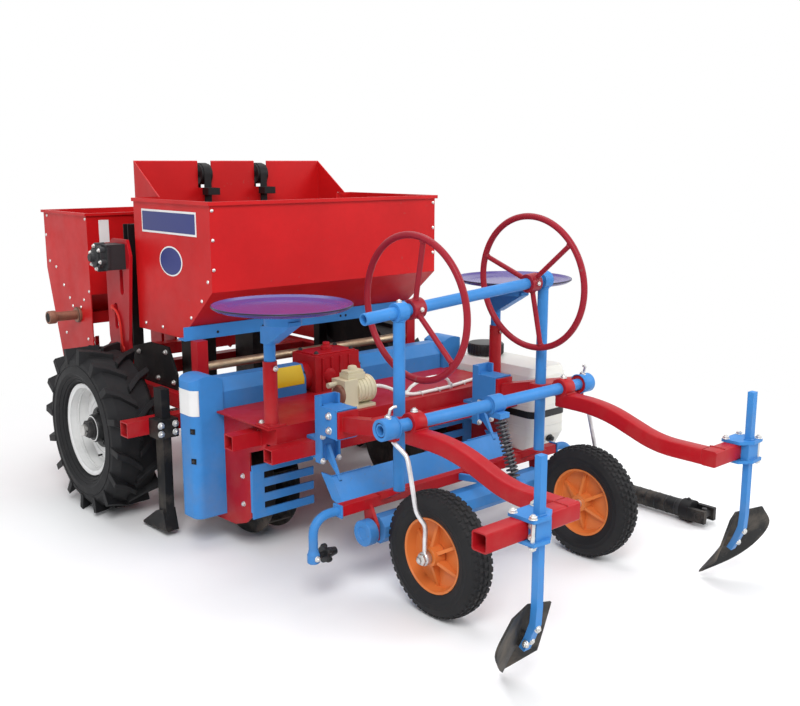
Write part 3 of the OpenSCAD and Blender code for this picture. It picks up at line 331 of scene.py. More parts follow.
class Piece:
    """A mesh of small solids in one material that rides on one body; places are machine millimetres."""

    def __init__(self, name, body, key):
        self.name, self.body, self.key = name, body, key
        self.bm = bmesh.new()

    def rings(self, rings, closed=False):
        """Skins a list of point rings."""
        made = [[self.bm.verts.new(mm(*p)) for p in ring] for ring in rings]
        pairs = list(zip(made, made[1:])) + ([(made[-1], made[0])] if closed else [])
        for a, b in pairs:
            k = len(a)
            for i in range(k):
                self.bm.faces.new((a[i], a[(i + 1) % k], b[(i + 1) % k], b[i]))
        if not closed:
            self.bm.faces.new(made[0][::-1])
            self.bm.faces.new(made[-1])

    def lathe(self, at, axis, profile, seg=24, closed=False, turn=0.0):
        """Turns (radius, height) points about an axis through a place."""
        rot = Vector(axis).to_track_quat("Z", "Y").to_matrix()
        steps = around(seg, turn)
        self.rings([[Vector(at) + rot @ Vector((max(r, 0.05) * c, max(r, 0.05) * d, h)) for c, d in steps]
                    for r, h in profile], closed)

    def prism(self, outline, move):
        """A polygon of places swept along a vector, with a small bevel on both rims."""
        p = [Vector(v) for v in outline]
        move = Vector(move)
        mid = sum(p, Vector()) / len(p)
        size = max((v - mid).length for v in p)
        b = min(0.8, move.length * 0.3)
        small = [mid + (v - mid) * (1 - b / size) for v in p]
        d = move.normalized() * b
        self.rings([small, [v + d for v in p], [v + move - d for v in p], [v + move for v in small]])

    def tube(self, points, r, seg=10, closed=False, beads=0.0):
        """A round bar along points; beads ripples it like a weld."""
        p = [Vector(v) for v in points]
        n = len(p)
        if closed:
            ahead = [p[(i + 1) % n] - p[i - 1] for i in range(n)]
        else:
            ahead = [p[min(i + 1, n - 1)] - p[max(i - 1, 0)] for i in range(n)]
        side = ahead[0].orthogonal().normalized()
        circle = around(seg)
        rings = []
        for i in range(n):
            t = ahead[i].normalized()
            side = (side - t * side.dot(t)).normalized()
            up = t.cross(side)
            k = r * (1 + beads * math.sin(i * 2.4))
            rings.append([p[i] + k * (side * c + up * d) for c, d in circle])
        self.rings(rings, closed)

    def bolt(self, at, axis, d, washer=True):
        """Hexagon head on a washer, d across the thread."""
        w = d * 0.16 if washer else 0.0
        if washer:
            self.lathe(at, axis, [(d * 1.05, 0), (d * 1.08, w * 0.5), (d * 1.02, w)], 20)
        self.lathe(at, axis, [(d * 0.92, w), (d * 0.92, w + d * 0.5), (d * 0.80, w + d * 0.62)], 6, turn=17.19)
        self.lathe(at, axis, [(d * 0.5, w + d * 0.6), (d * 0.5, w + d * 0.85), (d * 0.4, w + d * 0.95)], 12)

    def rivet(self, at, axis, d):
        """Low round head."""
        self.lathe(at, axis, [(d * 0.56, 0), (d * 0.52, d * 0.14), (d * 0.36, d * 0.27), (d * 0.12, d * 0.33)], 14)

    def weld(self, points, r=2.6, closed=False):
        """A rippled weld bead along straight runs."""
        fine = []
        p = [Vector(v) for v in points]
        for a, b in zip(p, p[1:] + ([p[0]] if closed else [])):
            n = max(2, round((b - a).length / 3.2))
            fine += [a.lerp(b, i / n) for i in range(n)]
        self.tube(fine if closed else fine + [p[-1]], r, 6, closed, 0.16)

    def done(self, angle=38):
        """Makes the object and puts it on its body."""
        bmesh.ops.remove_doubles(self.bm, verts=self.bm.verts, dist=2e-5)
        bmesh.ops.recalc_face_normals(self.bm, faces=self.bm.faces)
        mesh = bpy.data.meshes.new(self.name)
        self.bm.to_mesh(mesh)
        self.bm.free()
        mesh.materials.append(M[self.key])
        mesh.shade_smooth()
        mesh.set_sharp_from_angle(angle=math.radians(angle))
        obj = bpy.data.objects.new(self.name, mesh)
        scene.collection.objects.link(obj)
        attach(obj, self.body)
        return obj


def square(x, y, z, w, h, axis):
    """Corners of a rectangle across the x or y axis about a place."""
    corners = ((-w / 2, -h / 2), (w / 2, -h / 2), (w / 2, h / 2), (-w / 2, h / 2))
    if axis == "x":
        return [(x, y + p, z + q) for p, q in corners]
    return [(x + p, y, z + q) for p, q in corners]


def hose(name, points, d):
    """A white hose of a given diameter: a curve along a smooth line through the given places."""
    line = smooth_line(points, 22.0)
    data = bpy.data.curves.new(name, "CURVE")
    data.dimensions = "3D"
    data.bevel_depth = d / 2000.0
    data.bevel_resolution = 4
    data.use_fill_caps = True
    spline = data.splines.new("POLY")
    spline.points.add(len(line) - 1)
    for point, place in zip(spline.points, line):
        point.co = (*mm(*place), 1.0)
    data.materials.append(M["hose"])
    obj = bpy.data.objects.new(name, data)
    scene.collection.objects.link(obj)
    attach(obj, "frame")


# Unit circles, and the rounded 46 mm square of the covering arms' tube.
CIRCLE = around(40)
FINE_CIRCLE = around(120)
TUBE_EDGE = [(a * 17 + 6 * math.cos(math.radians(d + t)), b * 17 + 6 * math.sin(math.radians(d + t)))
             for a, b, d in ((1, 1, 0), (-1, 1, 90), (-1, -1, 180), (1, -1, 270)) for t in (0, 30, 60, 90)]

# Hoses between the pump and the tank; DECK_HOSE_Z is the hose's middle where it lies on the deck.
DECK_HOSE_Z = 456.4
hose("suction_hose",
     [(-76, PUMP_Y, PUMP_Z), (-40, -841, 502), (0, -846, 488), (45, -856, 466), (95, -864, DECK_HOSE_Z),
      (160, -867, DECK_HOSE_Z), (230, -865, DECK_HOSE_Z), (300, -856, DECK_HOSE_Z), (370, -842, DECK_HOSE_Z),
      (430, -831, DECK_HOSE_Z), (475, -829, DECK_HOSE_Z), (505, -829, 454), (526, -829, 449), (545, -829, 443)], 12)
hose("return_hose", [(70, -852, 459), (88, -858, 482), (125, -868, 500), (170, -874, 506), (215, -874, 500),
                     (250, -868, 482), (268, -860, 460)], 11)

# Hoppers: rivets and blank plates.
rivets = Piece("hopper_rivets", "frame", "zinc")
for _, s in SIDES:
    for y, z in ((641, 936), (619, 834), (560, 815), (496, 749), (447, 703), (318, 708), (423, 674), (350, 677),
                 (269, 744), (268, 1014), (300, 560), (500, 560), (620, 1014)):
        rivets.rivet((s * 520, y, z), (s, 0, 0), 11)
    for z in (1073, 981, 888):
        rivets.rivet((s * 471, -553, z), (0, -1, 0), 11)
    for y, z in ((-530, 849), (-488, 784), (-416, 722), (-100, 668), (-220, 668)):
        rivets.rivet((s * 480, y, z), (s, 0, 0), 11)
rivets.done()
plate = Piece("hopper_plate_rims", "frame", "plate_white")
inlay = Piece("hopper_plates", "frame", "plate_blue")
plate.prism(square(-480, -288, 1026, 366, 78, "x"), (-1.2, 0, 0))
inlay.prism(square(-481, -288, 1026, 352, 64, "x"), (-0.9, 0, 0))
plate.prism([(-480, -297 + 76 * c, 898 + 50 * d) for c, d in CIRCLE], (-1.2, 0, 0))
inlay.prism([(-481, -297 + 70 * c, 898 + 45 * d) for c, d in CIRCLE], (-0.9, 0, 0))
plate.prism(square(-453, 258, 967, 40, 84, "y"), (0, -1.2, 0))
plate.done()
inlay.done()

# Metering gear on the left: bolted casting, rusty shaft stub and the curved lever.
cast = Piece("gear_cast", "frame", "grey")
bits = Piece("gear_bolts", "frame", "zinc")
for c, d in around(6, 20):
    y, z = GEAR_Y + 40 * c, GEAR_Z + 40 * d
    cast.lathe((-580, y, z), (-1, 0, 0), [(11, -16), (11, 16), (9, 20)], 14)
    bits.bolt((-600, y, z), (-1, 0, 0), 7)
cast.lathe((-600, GEAR_Y, GEAR_Z), (-1, 0, 0), [(30, -2), (30, 5), (24, 8), (17, 9), (15, 20)], 28)
cast.prism(square(-581, -30, GEAR_Z, 12, 70, "x"), (10, 0, 0))
cast.done()
bits.done()
stub = Piece("shaft_stub", "frame", "rusty")
stub.lathe((-520, 372, 646), (-1, 0, 0), [(29.6, 0), (29.8, 9), (27, 12.4), (18.6, 13), (17.8, 30), (17.8, 92),
                                          (24.4, 95), (24.8, 99), (24.8, 119), (23.6, 122.6), (19.4, 122.8),
                                          (18.2, 122.3)], 32)
stub.done()
# The near-black disc in the stub's end is painted shade inside its bore.
bore = Piece("stub_bore_shade", "frame", "hole")
bore.lathe((-642.2, 372, 646), (-1, 0, 0), [(18.0, 0), (18.0, 0.5), (3, 0.7)], 28)
bore.done()
lever = Piece("chain_lever", "frame", "lever")
lever.tube(smooth_line([(-511, 93, 703), (-516, 86, 704), (-517, 62, 698), (-517, 44, 683), (-517, 31, 655),
                        (-517, 26, 627), (-517, 23, 590), (-515, 22, 572), (-511, 22, 562)], 8.0), 4.6, 10)
for y, z in ((95, 703), (22, 560)):
    lever.lathe((-512, y, z), (-1, 0, 0), [(11, 0), (11, 3), (9, 4.6)], 18)
lever.done()

# Frame: gusset bolts, tine bolts, end plate bolts, axle nuts and welds.
fixings = Piece("frame_bolts", "frame", "zinc")
welds = Piece("frame_welds", "frame", "red")
axle_bits = Piece("axle_nuts", "frame", "grey")
for _, s in SIDES:
    for y, z in ((96, 530), (20, 545), (-180, 570), (-230, 470), (-120, 470), (142, 475)):
        fixings.bolt((s * 453, y, z), (s, 0, 0), 9)
    for x in (561, 613):
        for z in (356, 384):
            fixings.bolt((s * x, -428, z), (0, -1, 0), 11)
    for y, z in ((-705, 256), (-705, 164), (-470, 400), (-800, 420)):
        fixings.bolt((s * 483, y, z), (s, 0, 0), 8)
    axle_bits.lathe((s * 659.6, 0, AXLE_Z), (s, 0, 0), [(34, 0), (34.5, 2), (33, 3.5)], 28)
    axle_bits.lathe((s * 663, 0, AXLE_Z), (s, 0, 0), [(33, 0), (33, 15), (29, 19), (20.4, 19)], 6)
    axle_bits.tube([(s * 688, -27, AXLE_Z), (s * 688, 27, AXLE_Z)], 2.2, 8)
    for x in (205, 255):
        welds.weld([(s * x, -447, 397), (s * x, -447, 443)])
    welds.weld([(s * 430, -395, 445), (s * 480, -395, 445)])
    welds.weld([(s * x, y, 446) for x, y in ((440, -445), (480, -445), (480, -405), (440, -405))], closed=True)
    welds.weld([(s * 430, 590, 445), (s * 430, 640, 445)])
    welds.weld([(s * 480, -366, 394), (s * 480, -316, 394)])
    welds.weld([(s * POST_X + 23 * c, POST_Y + 23 * d, 459) for c, d in CIRCLE], 2.4, closed=True)
    welds.weld([(s * 484, y, z) for y, z in ((-815, 379), (-815, 427), (-768, 427), (-768, 379))], closed=True)
fixings.done()
welds.done()
axle_bits.done()

# Blue rail under the hopper, chain covers and hoods: small holes drawn as dark discs and squares of painted shade,
# bolts and blank plates.
dark = Piece("hole_shade_marks", "frame", "hole")
# Each small hole is a thin near-black disc of painted shade.
for x in (-380, -200, -176, -40, 140, 164, 380):
    dark.lathe((x, -411, 664), (0, -1, 0), [(5, -0.4), (5, 0.3), (4, 0.5)], 14)
cover_bits = Piece("cover_bolts", "frame", "grey")
COVER_X, COVER_REAR_Y, COVER_FRONT_Y = 561, -572, -526
COVER_TURN = math.radians(208)
for _, s in SIDES:
    for z in (393, 296):
        out = Vector((-s * math.cos(COVER_TURN), math.sin(COVER_TURN), 0))
        at = Vector((s * COVER_X, COVER_REAR_Y, z)) + out * 29.9
        along = Vector((0, 0, 1)).cross(out) * 9
        up = Vector((0, 0, 9))
        # A thin dark square of painted shade where the bolt sits in its hole.
        dark.prism([at - along - up, at + along - up, at + along + up, at - along + up], out * 0.9)
        cover_bits.bolt(at + out * 0.6, out, 5.5, washer=False)
cover_bits.done()
dark.done()
label = Piece("cover_plate", "frame", "plate_white")
arc = [(-COVER_X + 30.9 * math.cos(a), y + 30.9 * math.sin(a))
       for y, first, last in ((COVER_FRONT_Y, 150, 181), (COVER_REAR_Y, 180, 256))
       for a in map(math.radians, range(first, last, 6))]
label.rings([[(x, y, 442), (x, y, 524), (x + 0.8, y, 524), (x + 0.8, y, 442)] for x, y in arc])
label.done()
yellow = Piece("hood_plate", "frame", "plate_yellow")
yellow.rings([[(x, -592.9, 484), (x, -592.9, 505.3), (x, -573.2, 547.4), (x, -572.2, 546.6), (x, -591.9, 505),
               (x, -592.0, 484)] for x in (-288, -286, -162, -160)])
yellow.done()

# Gearbox: flange bolts, lid with bolts, ribs, filler plug.
gear = Piece("gearbox_cast", "frame", "red")
gear_bits = Piece("gearbox_bolts", "frame", "grey")
for x, s in ((-146, -1), (80, 1)):
    gear.lathe((x, GEARBOX_Y, GEARBOX_Z), (s, 0, 0), [(47, -4), (47, 3), (44, 6), (30, 6), (27, 2)], 40)
    for c, d in around(6, 30):
        gear_bits.bolt((x + s * 5.6, GEARBOX_Y + 37 * c, GEARBOX_Z + 37 * d), (s, 0, 0), 7)
gear.prism([(-118, -602, 575), (52, -602, 575), (52, -490, 575), (-118, -490, 575)], (0, 0, 5))
for x in (-108, 42):
    for y in (-592, -500):
        gear_bits.bolt((x, y, 580), (0, 0, 1), 8)
for x in (-100, -62, -24, 14):
    gear.prism([(x, -612, 456), (x + 9, -612, 456), (x + 9, -612, 566), (x, -612, 566)], (0, -5, 0))
gear.lathe((-33, GEARBOX_Y, 588), (0, 0, 1), [(22, 0), (22, 5), (14, 7), (14, 16), (11, 19)], 6)
gear.lathe((-70, -612, 505), (0, -1, 0), [(24, 0), (24, 6), (20, 9), (8, 9.5)], 28)
gear.done()
gear_bits.done()

# Pump on the deck: ribs, bolts, pressure head, hose tails and hose clips.
pump = Piece("pump_ribs", "frame", "ivory")
head = Piece("pump_head", "frame", "rusty")
for i in range(5):
    pump.lathe((-146 + 14 * i, PUMP_Y, PUMP_Z), (1, 0, 0), [(41, 0), (44, 0.8), (44, 4.2), (41, 5)], 36)
pump.prism([(-181, -858, 562), (-119, -858, 562), (-119, -822, 562), (-181, -822, 562)], (0, 0, 9))
pump.lathe((-150, PUMP_Y, 570), (0, 0, 1), [(15, 0), (15, 10), (12, 14), (4, 15)], 20)
head.lathe((-207, -848, 500), (-1, 0, 0), [(31, 0), (31, 7), (27, 11), (12, 12), (11, 20)], 32)
for c, d in around(4, 45):
    head.bolt((-214, -848 + 25 * c, 500 + 25 * d), (-1, 0, 0), 5)
head.lathe((-84, PUMP_Y, PUMP_Z), (1, 0, 0), [(16, 0), (16, 8), (9, 10), (9, 24)], 20)
pump.done()
head.done()
tails = Piece("hose_fittings", "frame", "zinc")
for at, axis in (((70, -852, 451), (0, 0, 1)), ((268, -860, 451), (0, 0, 1)), ((531, -829, 447), (-1, 0, 0.2))):
    tails.lathe(at, axis, [(10, -1), (10, 6), (8, 8), (8, 16), (7, 18)], 14)
for x, y in ((120, -867), (200, -867), (340, -847)):
    tails.tube([(x, y + p, z) for p, z in ((-14, 450.5), (-11, 459), (0, 463.6), (11, 459), (14, 450.5))], 1.6, 8)
tails.done()

# Seats: round posts with a sliding tube and its arm, rolled rim, lock bolts.
posts = Piece("seat_tubes", "frame", "red")
arms = Piece("seat_slides", "frame", "blue")
SEAT_X, SEAT_Y = 486, -946
for _, s in SIDES:
    posts.lathe((s * POST_X, POST_Y, 451), (0, 0, 1),
                [(24.6, 0), (23, 3), (21.4, 5), (21.4, 196), (20.4, 198), (17.8, 198)], 40)
    posts.prism([(s * x, y, 450) for x, y in ((445, -894), (508, -894), (508, -826), (445, -826))], (0, 0, 8))
    posts.lathe((s * POST_X, -889, 630), (0, -1, 0), [(10, -4), (10, 9), (8.6, 10)], 20)
    arms.lathe((s * POST_X, POST_Y, 640), (0, 0, 1), [(17.4, 0), (17.4, 111), (15.6, 112)], 36)
    arms.prism([(s * 463, y, z) for y, z in ((-853, 702), (-853, 752), (-1005, 780), (-1005, 769), (-890, 702))],
               (s * 40, 0, 0))
    arms.lathe((s * SEAT_X, SEAT_Y, 766.5), (0, 0, 1), [(54, 0), (55, 1), (55, 38.6), (50, 39.4)], 48)
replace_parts(posts.done(), "seat_posts")
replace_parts(arms.done(), "seat_arms")
seat_rim = Piece("seat_rims", "frame", "dark")
seat_bits = Piece("seat_bolts", "frame", "zinc")
for _, s in SIDES:
    seat_rim.lathe((s * SEAT_X, SEAT_Y, 806), (0, 0, 1), [(199.6, 18.4), (201.4, 20.6), (202.2, 18), (201.6, 15.4),
                                                          (199.0, 13.6), (198.4, 15.6)], 96, closed=True)
    seat_bits.bolt((s * POST_X, -899, 630), (0, -1, 0), 8)
    for x in (456, 497):
        seat_bits.bolt((s * x, -838, 458), (0, 0, 1), 8)
seat_rim.done()
seat_bits.done()

# Clamps, pivot and reel: bolts, welds, sleeves, hoops and the tube's long end.
clamp_bits = Piece("clamp_bolts", "frame", "zinc")
blue_bits = Piece("clamp_welds", "frame", "blue")
for _, s in SIDES:
    for z in (446, 490):
        clamp_bits.bolt((s * 374, -1010, z), (s, 0, 0), 11)
    for x in (306, 366):
        for z in (341, 417):
            clamp_bits.bolt((s * x, -965, z), (0, -1, 0), 9)
    clamp_bits.bolt((s * 413, PIVOT_Y, 551.5), (0, -0.1, 1), 10)
    clamp_bits.tube([(s * 413, -1322, 560), (s * 413, -1328, 578), (s * 404, -1331, 584), (s * 396, -1333, 584)],
                    4.2, 10)
    clamp_bits.bolt((s * 302, -1264.3, 505), (0, -1, 0), 9)
    z = REEL.z + s * 302 * math.tan(REEL_TILT)
    clamp_bits.bolt((s * 302, REEL.y, z + 26), (0, 0, 1), 8)
    blue_bits.weld([(s * (302 + 17.5 * c), REEL.y + 17.5 * d, z - 24) for c, d in CIRCLE[::2]], 2.4, closed=True)
    blue_bits.weld([(s * x, -1043, z) for x, z in ((299, 424), (299, 511), (374, 511), (374, 424))], closed=True)
    blue_bits.weld([(s * 360, -1001, 302), (s * 210, -1001, 302)], 2.0)
for x in (-25, 25):
    blue_bits.weld([(x, PIVOT_Y + 18.6 * c, PIVOT_Z + 18.6 * d) for c, d in CIRCLE[::2]], 2.2, closed=True)
clamp_bits.done()
sleeves = Piece("pivot_sleeves", "frame", "blue")
for _, s in SIDES:
    sleeves.lathe((s * 390, PIVOT_Y, PIVOT_Z), (s, 0, 0), [(29.4, 0), (30.4, 1.4), (30.4, 50), (29, 52), (22, 52),
                                                           (20.4, 50), (20.4, 47), (29.2, 46)], 44, closed=True)
    blue_bits.weld([(s * 391, PIVOT_Y + 30.6 * c, PIVOT_Z + 30.6 * d) for c, d in CIRCLE], 1.8, closed=True)
sleeves.done()
blue_bits.done()
HOOP_OUT = 245
set_screws = Piece("reel_set_screws", "reel", "zinc")
for s in (-1, 1):
    middle = REEL + REEL_DIR * HOOP_OUT * s
    set_screws.bolt(middle + Vector((0, -29, 0)), (0, -1, 0), 8, washer=False)
    set_screws.bolt(middle + Vector((0, 29, 0)), (0, 1, 0), 8, washer=False)
set_screws.done()
rear, rise = Vector((0, -1, 0)), Vector((-math.sin(REEL_TILT), 0, math.cos(REEL_TILT)))
hoops = Piece("reel_hoops", "reel", "ring")
for s, first in ((-1, 14), (1, 50.5)):
    middle = REEL + REEL_DIR * HOOP_OUT * s
    hoops.tube([middle + 205 * (rise * c + rear * d) for c, d in FINE_CIRCLE], 9.9, 16, closed=True)
    hoops.lathe(middle, REEL_DIR, [(17.6, -21.5), (27.6, -22), (29, -20.6), (29, 20.6), (27.6, 22), (17.6, 21.5)],
                40, closed=True)
    for c, d in around(3, first):
        spoke = rise * c + rear * d
        across = REEL_DIR.cross(spoke)
        hoops.tube([middle + spoke * far for far in (26, 80, 140, 199)], 7.9, 14)
        for far in (29.4, 194.6):
            hoops.weld([middle + spoke * far + 8.4 * (REEL_DIR * p + across * q) for p, q in CIRCLE[::3]], 2.0,
                       closed=True)
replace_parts(hoops.done(), "reel_rings")
tube_end = Piece("reel_tube_end", "reel", "blue")
tube_end.lathe(REEL - REEL_DIR * 331, -REEL_DIR, [(13.2, 0), (16.9, 0), (16.9, 98), (16, 99), (13.8, 99), (13.2, 98)],
               32, closed=True)
tube_end.done()

# Ridging rotors: shaft, hub, two bevelled discs and paddles with stiffening lips.
for side, s in SIDES:
    rotor = Piece("rotor_steel_" + side, side + "_rotor", "share")
    at = Vector((s * 262, -550, 192))
    rotor.lathe(at, (s, 0, 0), [(18.0, 0), (19.3, 1.5), (19.3, 263), (18.0, 264.5)], 32)
    rotor.lathe(at, (s, 0, 0), [(19.3, 8), (33.6, 8.6), (35.0, 10), (35.0, 141), (33.6, 142.4), (19.3, 143)], 36,
                closed=True)
    for x in (28, 123):
        rotor.lathe(at + Vector((s * x, 0, 0)), (s, 0, 0), [(35.0, -2.9), (182.0, -2.9), (187.0, -0.9), (187.0, 0.9),
                                                            (182.0, 2.9), (35.0, 2.9)], 96, closed=True)
    for c, d in around(6, 15):
        out, wide = Vector((0, -d, c)), Vector((0, c, d))
        low, tip = (at + Vector((s * 29, 0, 0)) + out * far for far in (30, 181.0))
        lip = tip - out * 9
        rotor.prism([low - wide * 3.6, low + wide * 3.6, tip + wide * 3.6, tip - wide * 3.6], (s * 93, 0, 0))
        rotor.prism([lip + wide * 3.4, lip + wide * 9, tip + wide * 9, tip + wide * 3.4], (s * 93, 0, 0))
    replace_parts(rotor.done(), "rotor_" + side)

# Coil spring on its rod.
TURNS, STEPS = 13, 20
foot, top = Vector((0, -1405, 310.9)), Vector((0, -1342, 484.1))
rod = top - foot
up = rod.normalized()
u = up.orthogonal().normalized()
w = up.cross(u)
coil = Piece("spring_coil", "frame", "coil")
turn = around(STEPS)
line = []
for k in range(TURNS * STEPS + 1):
    c, d = turn[k % STEPS]
    line.append(foot + rod * (0.092 + 0.816 * k / (TURNS * STEPS)) + 15.0 * (u * c + w * d))
coil.tube(line, 3.3, 10)
coil_obj = coil.done()
guide = Piece("spring_rod", "frame", "coil")
half_rod = [(6, 0), (6, 8), (19, 9), (19, 13), (10, 16), (5.6, 17)]
guide.lathe(foot, up, half_rod + [(r, rod.length - h) for r, h in half_rod[::-1]], 24)
guide_obj = guide.done()
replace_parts(coil_obj, "spring")
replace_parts(guide_obj, "spring")

# Film arms' plugs, roller ends and nuts.
star = Piece("plug_stars", "frame", "dark")
ends = Piece("roller_caps", "roller", "blue")
pins = Piece("roller_nuts", "frame", "zinc")
for _, s in SIDES:
    for c, d in around(5):
        star.lathe((s * 517, ROLL_Y + 20 * c, PLUG_Z + 20 * d), (-s, 0, 0), [(7, -3), (8.6, 0), (8.6, 9), (7, 12)], 14)
    pins.bolt((s * 553, -1183, PLUG_Z), (0, -1, 0), 8)
    ends.lathe((s * 366, -1188, 185), (s, 0, 0),
               [(30, 0), (37, 0.6), (38, 2), (38, 30), (36.4, 32), (20, 32), (18, 29), (6, 29)], 40)
star.done()
ends.done()
pins.done()

# Drive wheels: black hubs with nuts, pressed rim steps, valve and tyre rings.
for side, s in SIDES:
    body = "drive_wheel_" + side
    centre = (s * 615, 0, AXLE_Z)
    hub = Piece("drive_hub_" + side, body, "dark")
    hub.lathe(centre, (s, 0, 0), [(46.4, 4.6), (72, 4.8), (74, 8), (72, 12), (55, 14), (51, 18), (50, 38), (47, 43),
                                  (40, 44.3), (24, 44.3)], 48, closed=True)
    for c, d in around(5, 18):
        hub.bolt((s * 627, 62 * c, AXLE_Z + 62 * d), (s, 0, 0), 11)
    hub.done()
    steps = Piece("drive_rim_steps_" + side, body, "white")
    for profile, seg in (([(147.2, 57.6), (152, 60.6), (158, 62.0), (163.2, 61.9), (164.6, 60), (163.5, 58)], 96),
                         ([(147.5, 24), (145.6, 26), (145.6, 31), (147.5, 33)], 96),
                         ([(114, 4.4), (112.5, 6.8), (104, 7.6), (96, 6.4), (95, 4.4)], 72)):
        steps.lathe(centre, (s, 0, 0), profile, seg, closed=True)
    steps.done()
    valve = Piece("drive_valve_" + side, body, "hole")
    a = math.radians(-84)
    valve.lathe((s * 620, 106 * math.cos(a), AXLE_Z + 106 * math.sin(a)), (s, 0, 0),
                [(9, -0.4), (9, 0.9), (3.4, 1.1), (3.2, 16), (2.4, 17)], 16)
    valve.done()
    tread = Piece("drive_tyre_rings_" + side, body, "tyre")
    for k in (-1, 1):
        for profile in ([(176.5, 72.8), (178.4, 76.6), (181.6, 78.4), (183.6, 76.8)],
                        [(190, 81), (191.2, 83.6), (193.4, 84.6), (195, 83.4)],
                        [(228, 86.6), (229.4, 88.8), (232, 88.6), (233.6, 86.2)]):
            tread.lathe(centre, (k, 0, 0), profile, 96, closed=True)
    tread.done()

# Press wheels: treaded tyres, rim steps, a slot in the rim drawn as a dark plate of painted shade, hub nuts.
BEAD_R, TREAD_R = 106.0, 177.5
HALF_TYRE = [(BEAD_R, 29), (BEAD_R + 7, 35.5), (BEAD_R + 14, 38.6), (BEAD_R + 22, 40.6), (BEAD_R + 25, 42.6),
             (BEAD_R + 28, 41.3), (BEAD_R + 36, 41.8), (BEAD_R + 39, 43), (BEAD_R + 42, 41.4), (TREAD_R - 20, 38),
             (TREAD_R - 16, 36.5), (TREAD_R - 12, 33), (TREAD_R - 8, 27), (TREAD_R - 6, 20), (TREAD_R - 5.2, 10)]
# Rows of tread blocks: place across the tyre, drop below the tread's radius, width, first angle in steps.
TREAD_ROWS = ((-29, 7.0, 9, 0.0), (-16, 2.2, 10, 0.5), (0, 0.4, 11, 0.0), (16, 2.2, 10, 0.5), (29, 7.0, 9, 0.0))
BLOCKS = 48
for side, s in SIDES:
    body = "press_wheel_" + side
    centre = Vector((s * 320, PRESS_Y, PRESS_Z))
    tyre = Piece("press_tread_" + side, body, "tyre")
    tyre.lathe(centre, (1, 0, 0), [(r, -x) for r, x in HALF_TYRE] + HALF_TYRE[::-1], 96, closed=True)
    for x, drop, wide, shift in TREAD_ROWS:
        top_r = TREAD_R - drop
        for c, d in around(BLOCKS, shift * 360.0 / BLOCKS):
            out, tip = Vector((0, c, d)), Vector((0, -d, c))
            tyre.rings([[centre + out * r + Vector((x + p * wide * k / 2, 0, 0)) + tip * q * 7.4 * k
                         for p, q in ((-1, -1), (1, -1), (1, 1), (-1, 1))]
                        for r, k in ((top_r - 8, 1.0), (top_r - 0.8, 0.97), (top_r, 0.88))])
    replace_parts(tyre.done(30), "press_tyre_" + side)
    rim = Piece("press_rim_steps_" + side, body, "orange")
    for k in (-1, 1):
        rim.lathe(centre, (k, 0, 0), [(99.2, 27.6), (101, 30.4), (104.5, 31.4), (106.4, 30.2)], 72, closed=True)
        rim.lathe(centre, (k, 0, 0), [(30, 2), (28, 14), (25, 28), (24.4, 37), (22, 38.6), (18.6, 38.6)], 36,
                  closed=True)
    rim.done()
    # The rim's slot is a thin near-black plate of painted shade.
    slot = Piece("press_rim_slot_shade_" + side, body, "hole")
    a = math.radians(-22)
    out, tip = Vector((0, math.cos(a), math.sin(a))), Vector((0, -math.sin(a), math.cos(a)))
    at = centre + out * 74 + Vector((s * 0.6, 0, 0))
    slot.prism([at + out * p + tip * q for p, q in ((-12, -4), (12, -4), (12, 4), (-12, 4))], (s * 0.7, 0, 0))
    slot.done()
    nut = Piece("press_nut_" + side, "frame", "steel")
    nut.lathe((s * 385, PRESS_Y, PRESS_Z), (s, 0, 0), [(17, -4), (17, 3), (14, 6), (9, 7), (8.6, 12), (5, 14)], 6)
    nut.lathe((s * 365, PRESS_Y, PRESS_Z), (s, 0, 0), [(18, -3), (19, 0), (18, 3), (13.4, 4)], 28)
    nut.done()

# Bent round bars: the press wheels' rods and the film arms, drawn with the real bends.
ROD_WAY = [(394, -1318, 484), (392.6, -1330, 476), (388, -1353, 460), (386.2, -1366, 446), (386.5, -1377, 411),
           (387.2, -1389, 365), (388, -1400, 322), (386.5, -1406, 304), (381, -1414, 288), (375.5, -1422, 275),
           (373.2, -1424, 261), (373, -1423, 230), (373, -1422, 192)]
PIPE_WAY = [(461, 264), (480, 264), (500, 264), (516, 261.5), (531, 254.5), (543, 243.5), (550.5, 230), (553, 214),
            (553, 196), (553, 172)]
rods = Piece("bent_rods", "frame", "rod")
pipes = Piece("bent_pipes", "frame", "blue")
for _, s in SIDES:
    rods.tube(smooth_line([(s * x, y, z) for x, y, z in ROD_WAY], 7.0), 6.5, 16)
    rods.lathe((s * 373, PRESS_Y, PRESS_Z), (s, 0, 0),
               [(18, -7), (19.5, -5), (19.5, 6), (18, 8), (13, 8), (13, -7)], 28, closed=True)
    rods.lathe((s * 268, PRESS_Y, PRESS_Z), (s, 0, 0), [(13, 0), (13, 119)], 28)
    pipes.tube(smooth_line([(s * x, ROLL_Y, z) for x, z in PIPE_WAY], 7.0), 13, 20)
    pipes.prism(square(s * 462, ROLL_Y, 264, 37, 37, "x"), (s * 7, 0, 0))
    pipes.lathe((s * 553, ROLL_Y, 134), (0, 0, 1), [(15.6, 0), (17.6, 2), (17.6, 25), (15.6, 27), (13, 40)], 28)
pipes.prism([(-6, -1180, 256), (-6, -1180, 276), (-6, -1423, 305), (-6, -1423, 288)], (12, 0, 0))
pipes.prism([(-29, -1430, 299), (29, -1430, 299), (29, -1380, 299), (-29, -1380, 299)], (0, 0, 8))
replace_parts(rods.done(), "press_rods")
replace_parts(pipes.done(), "film_arms")

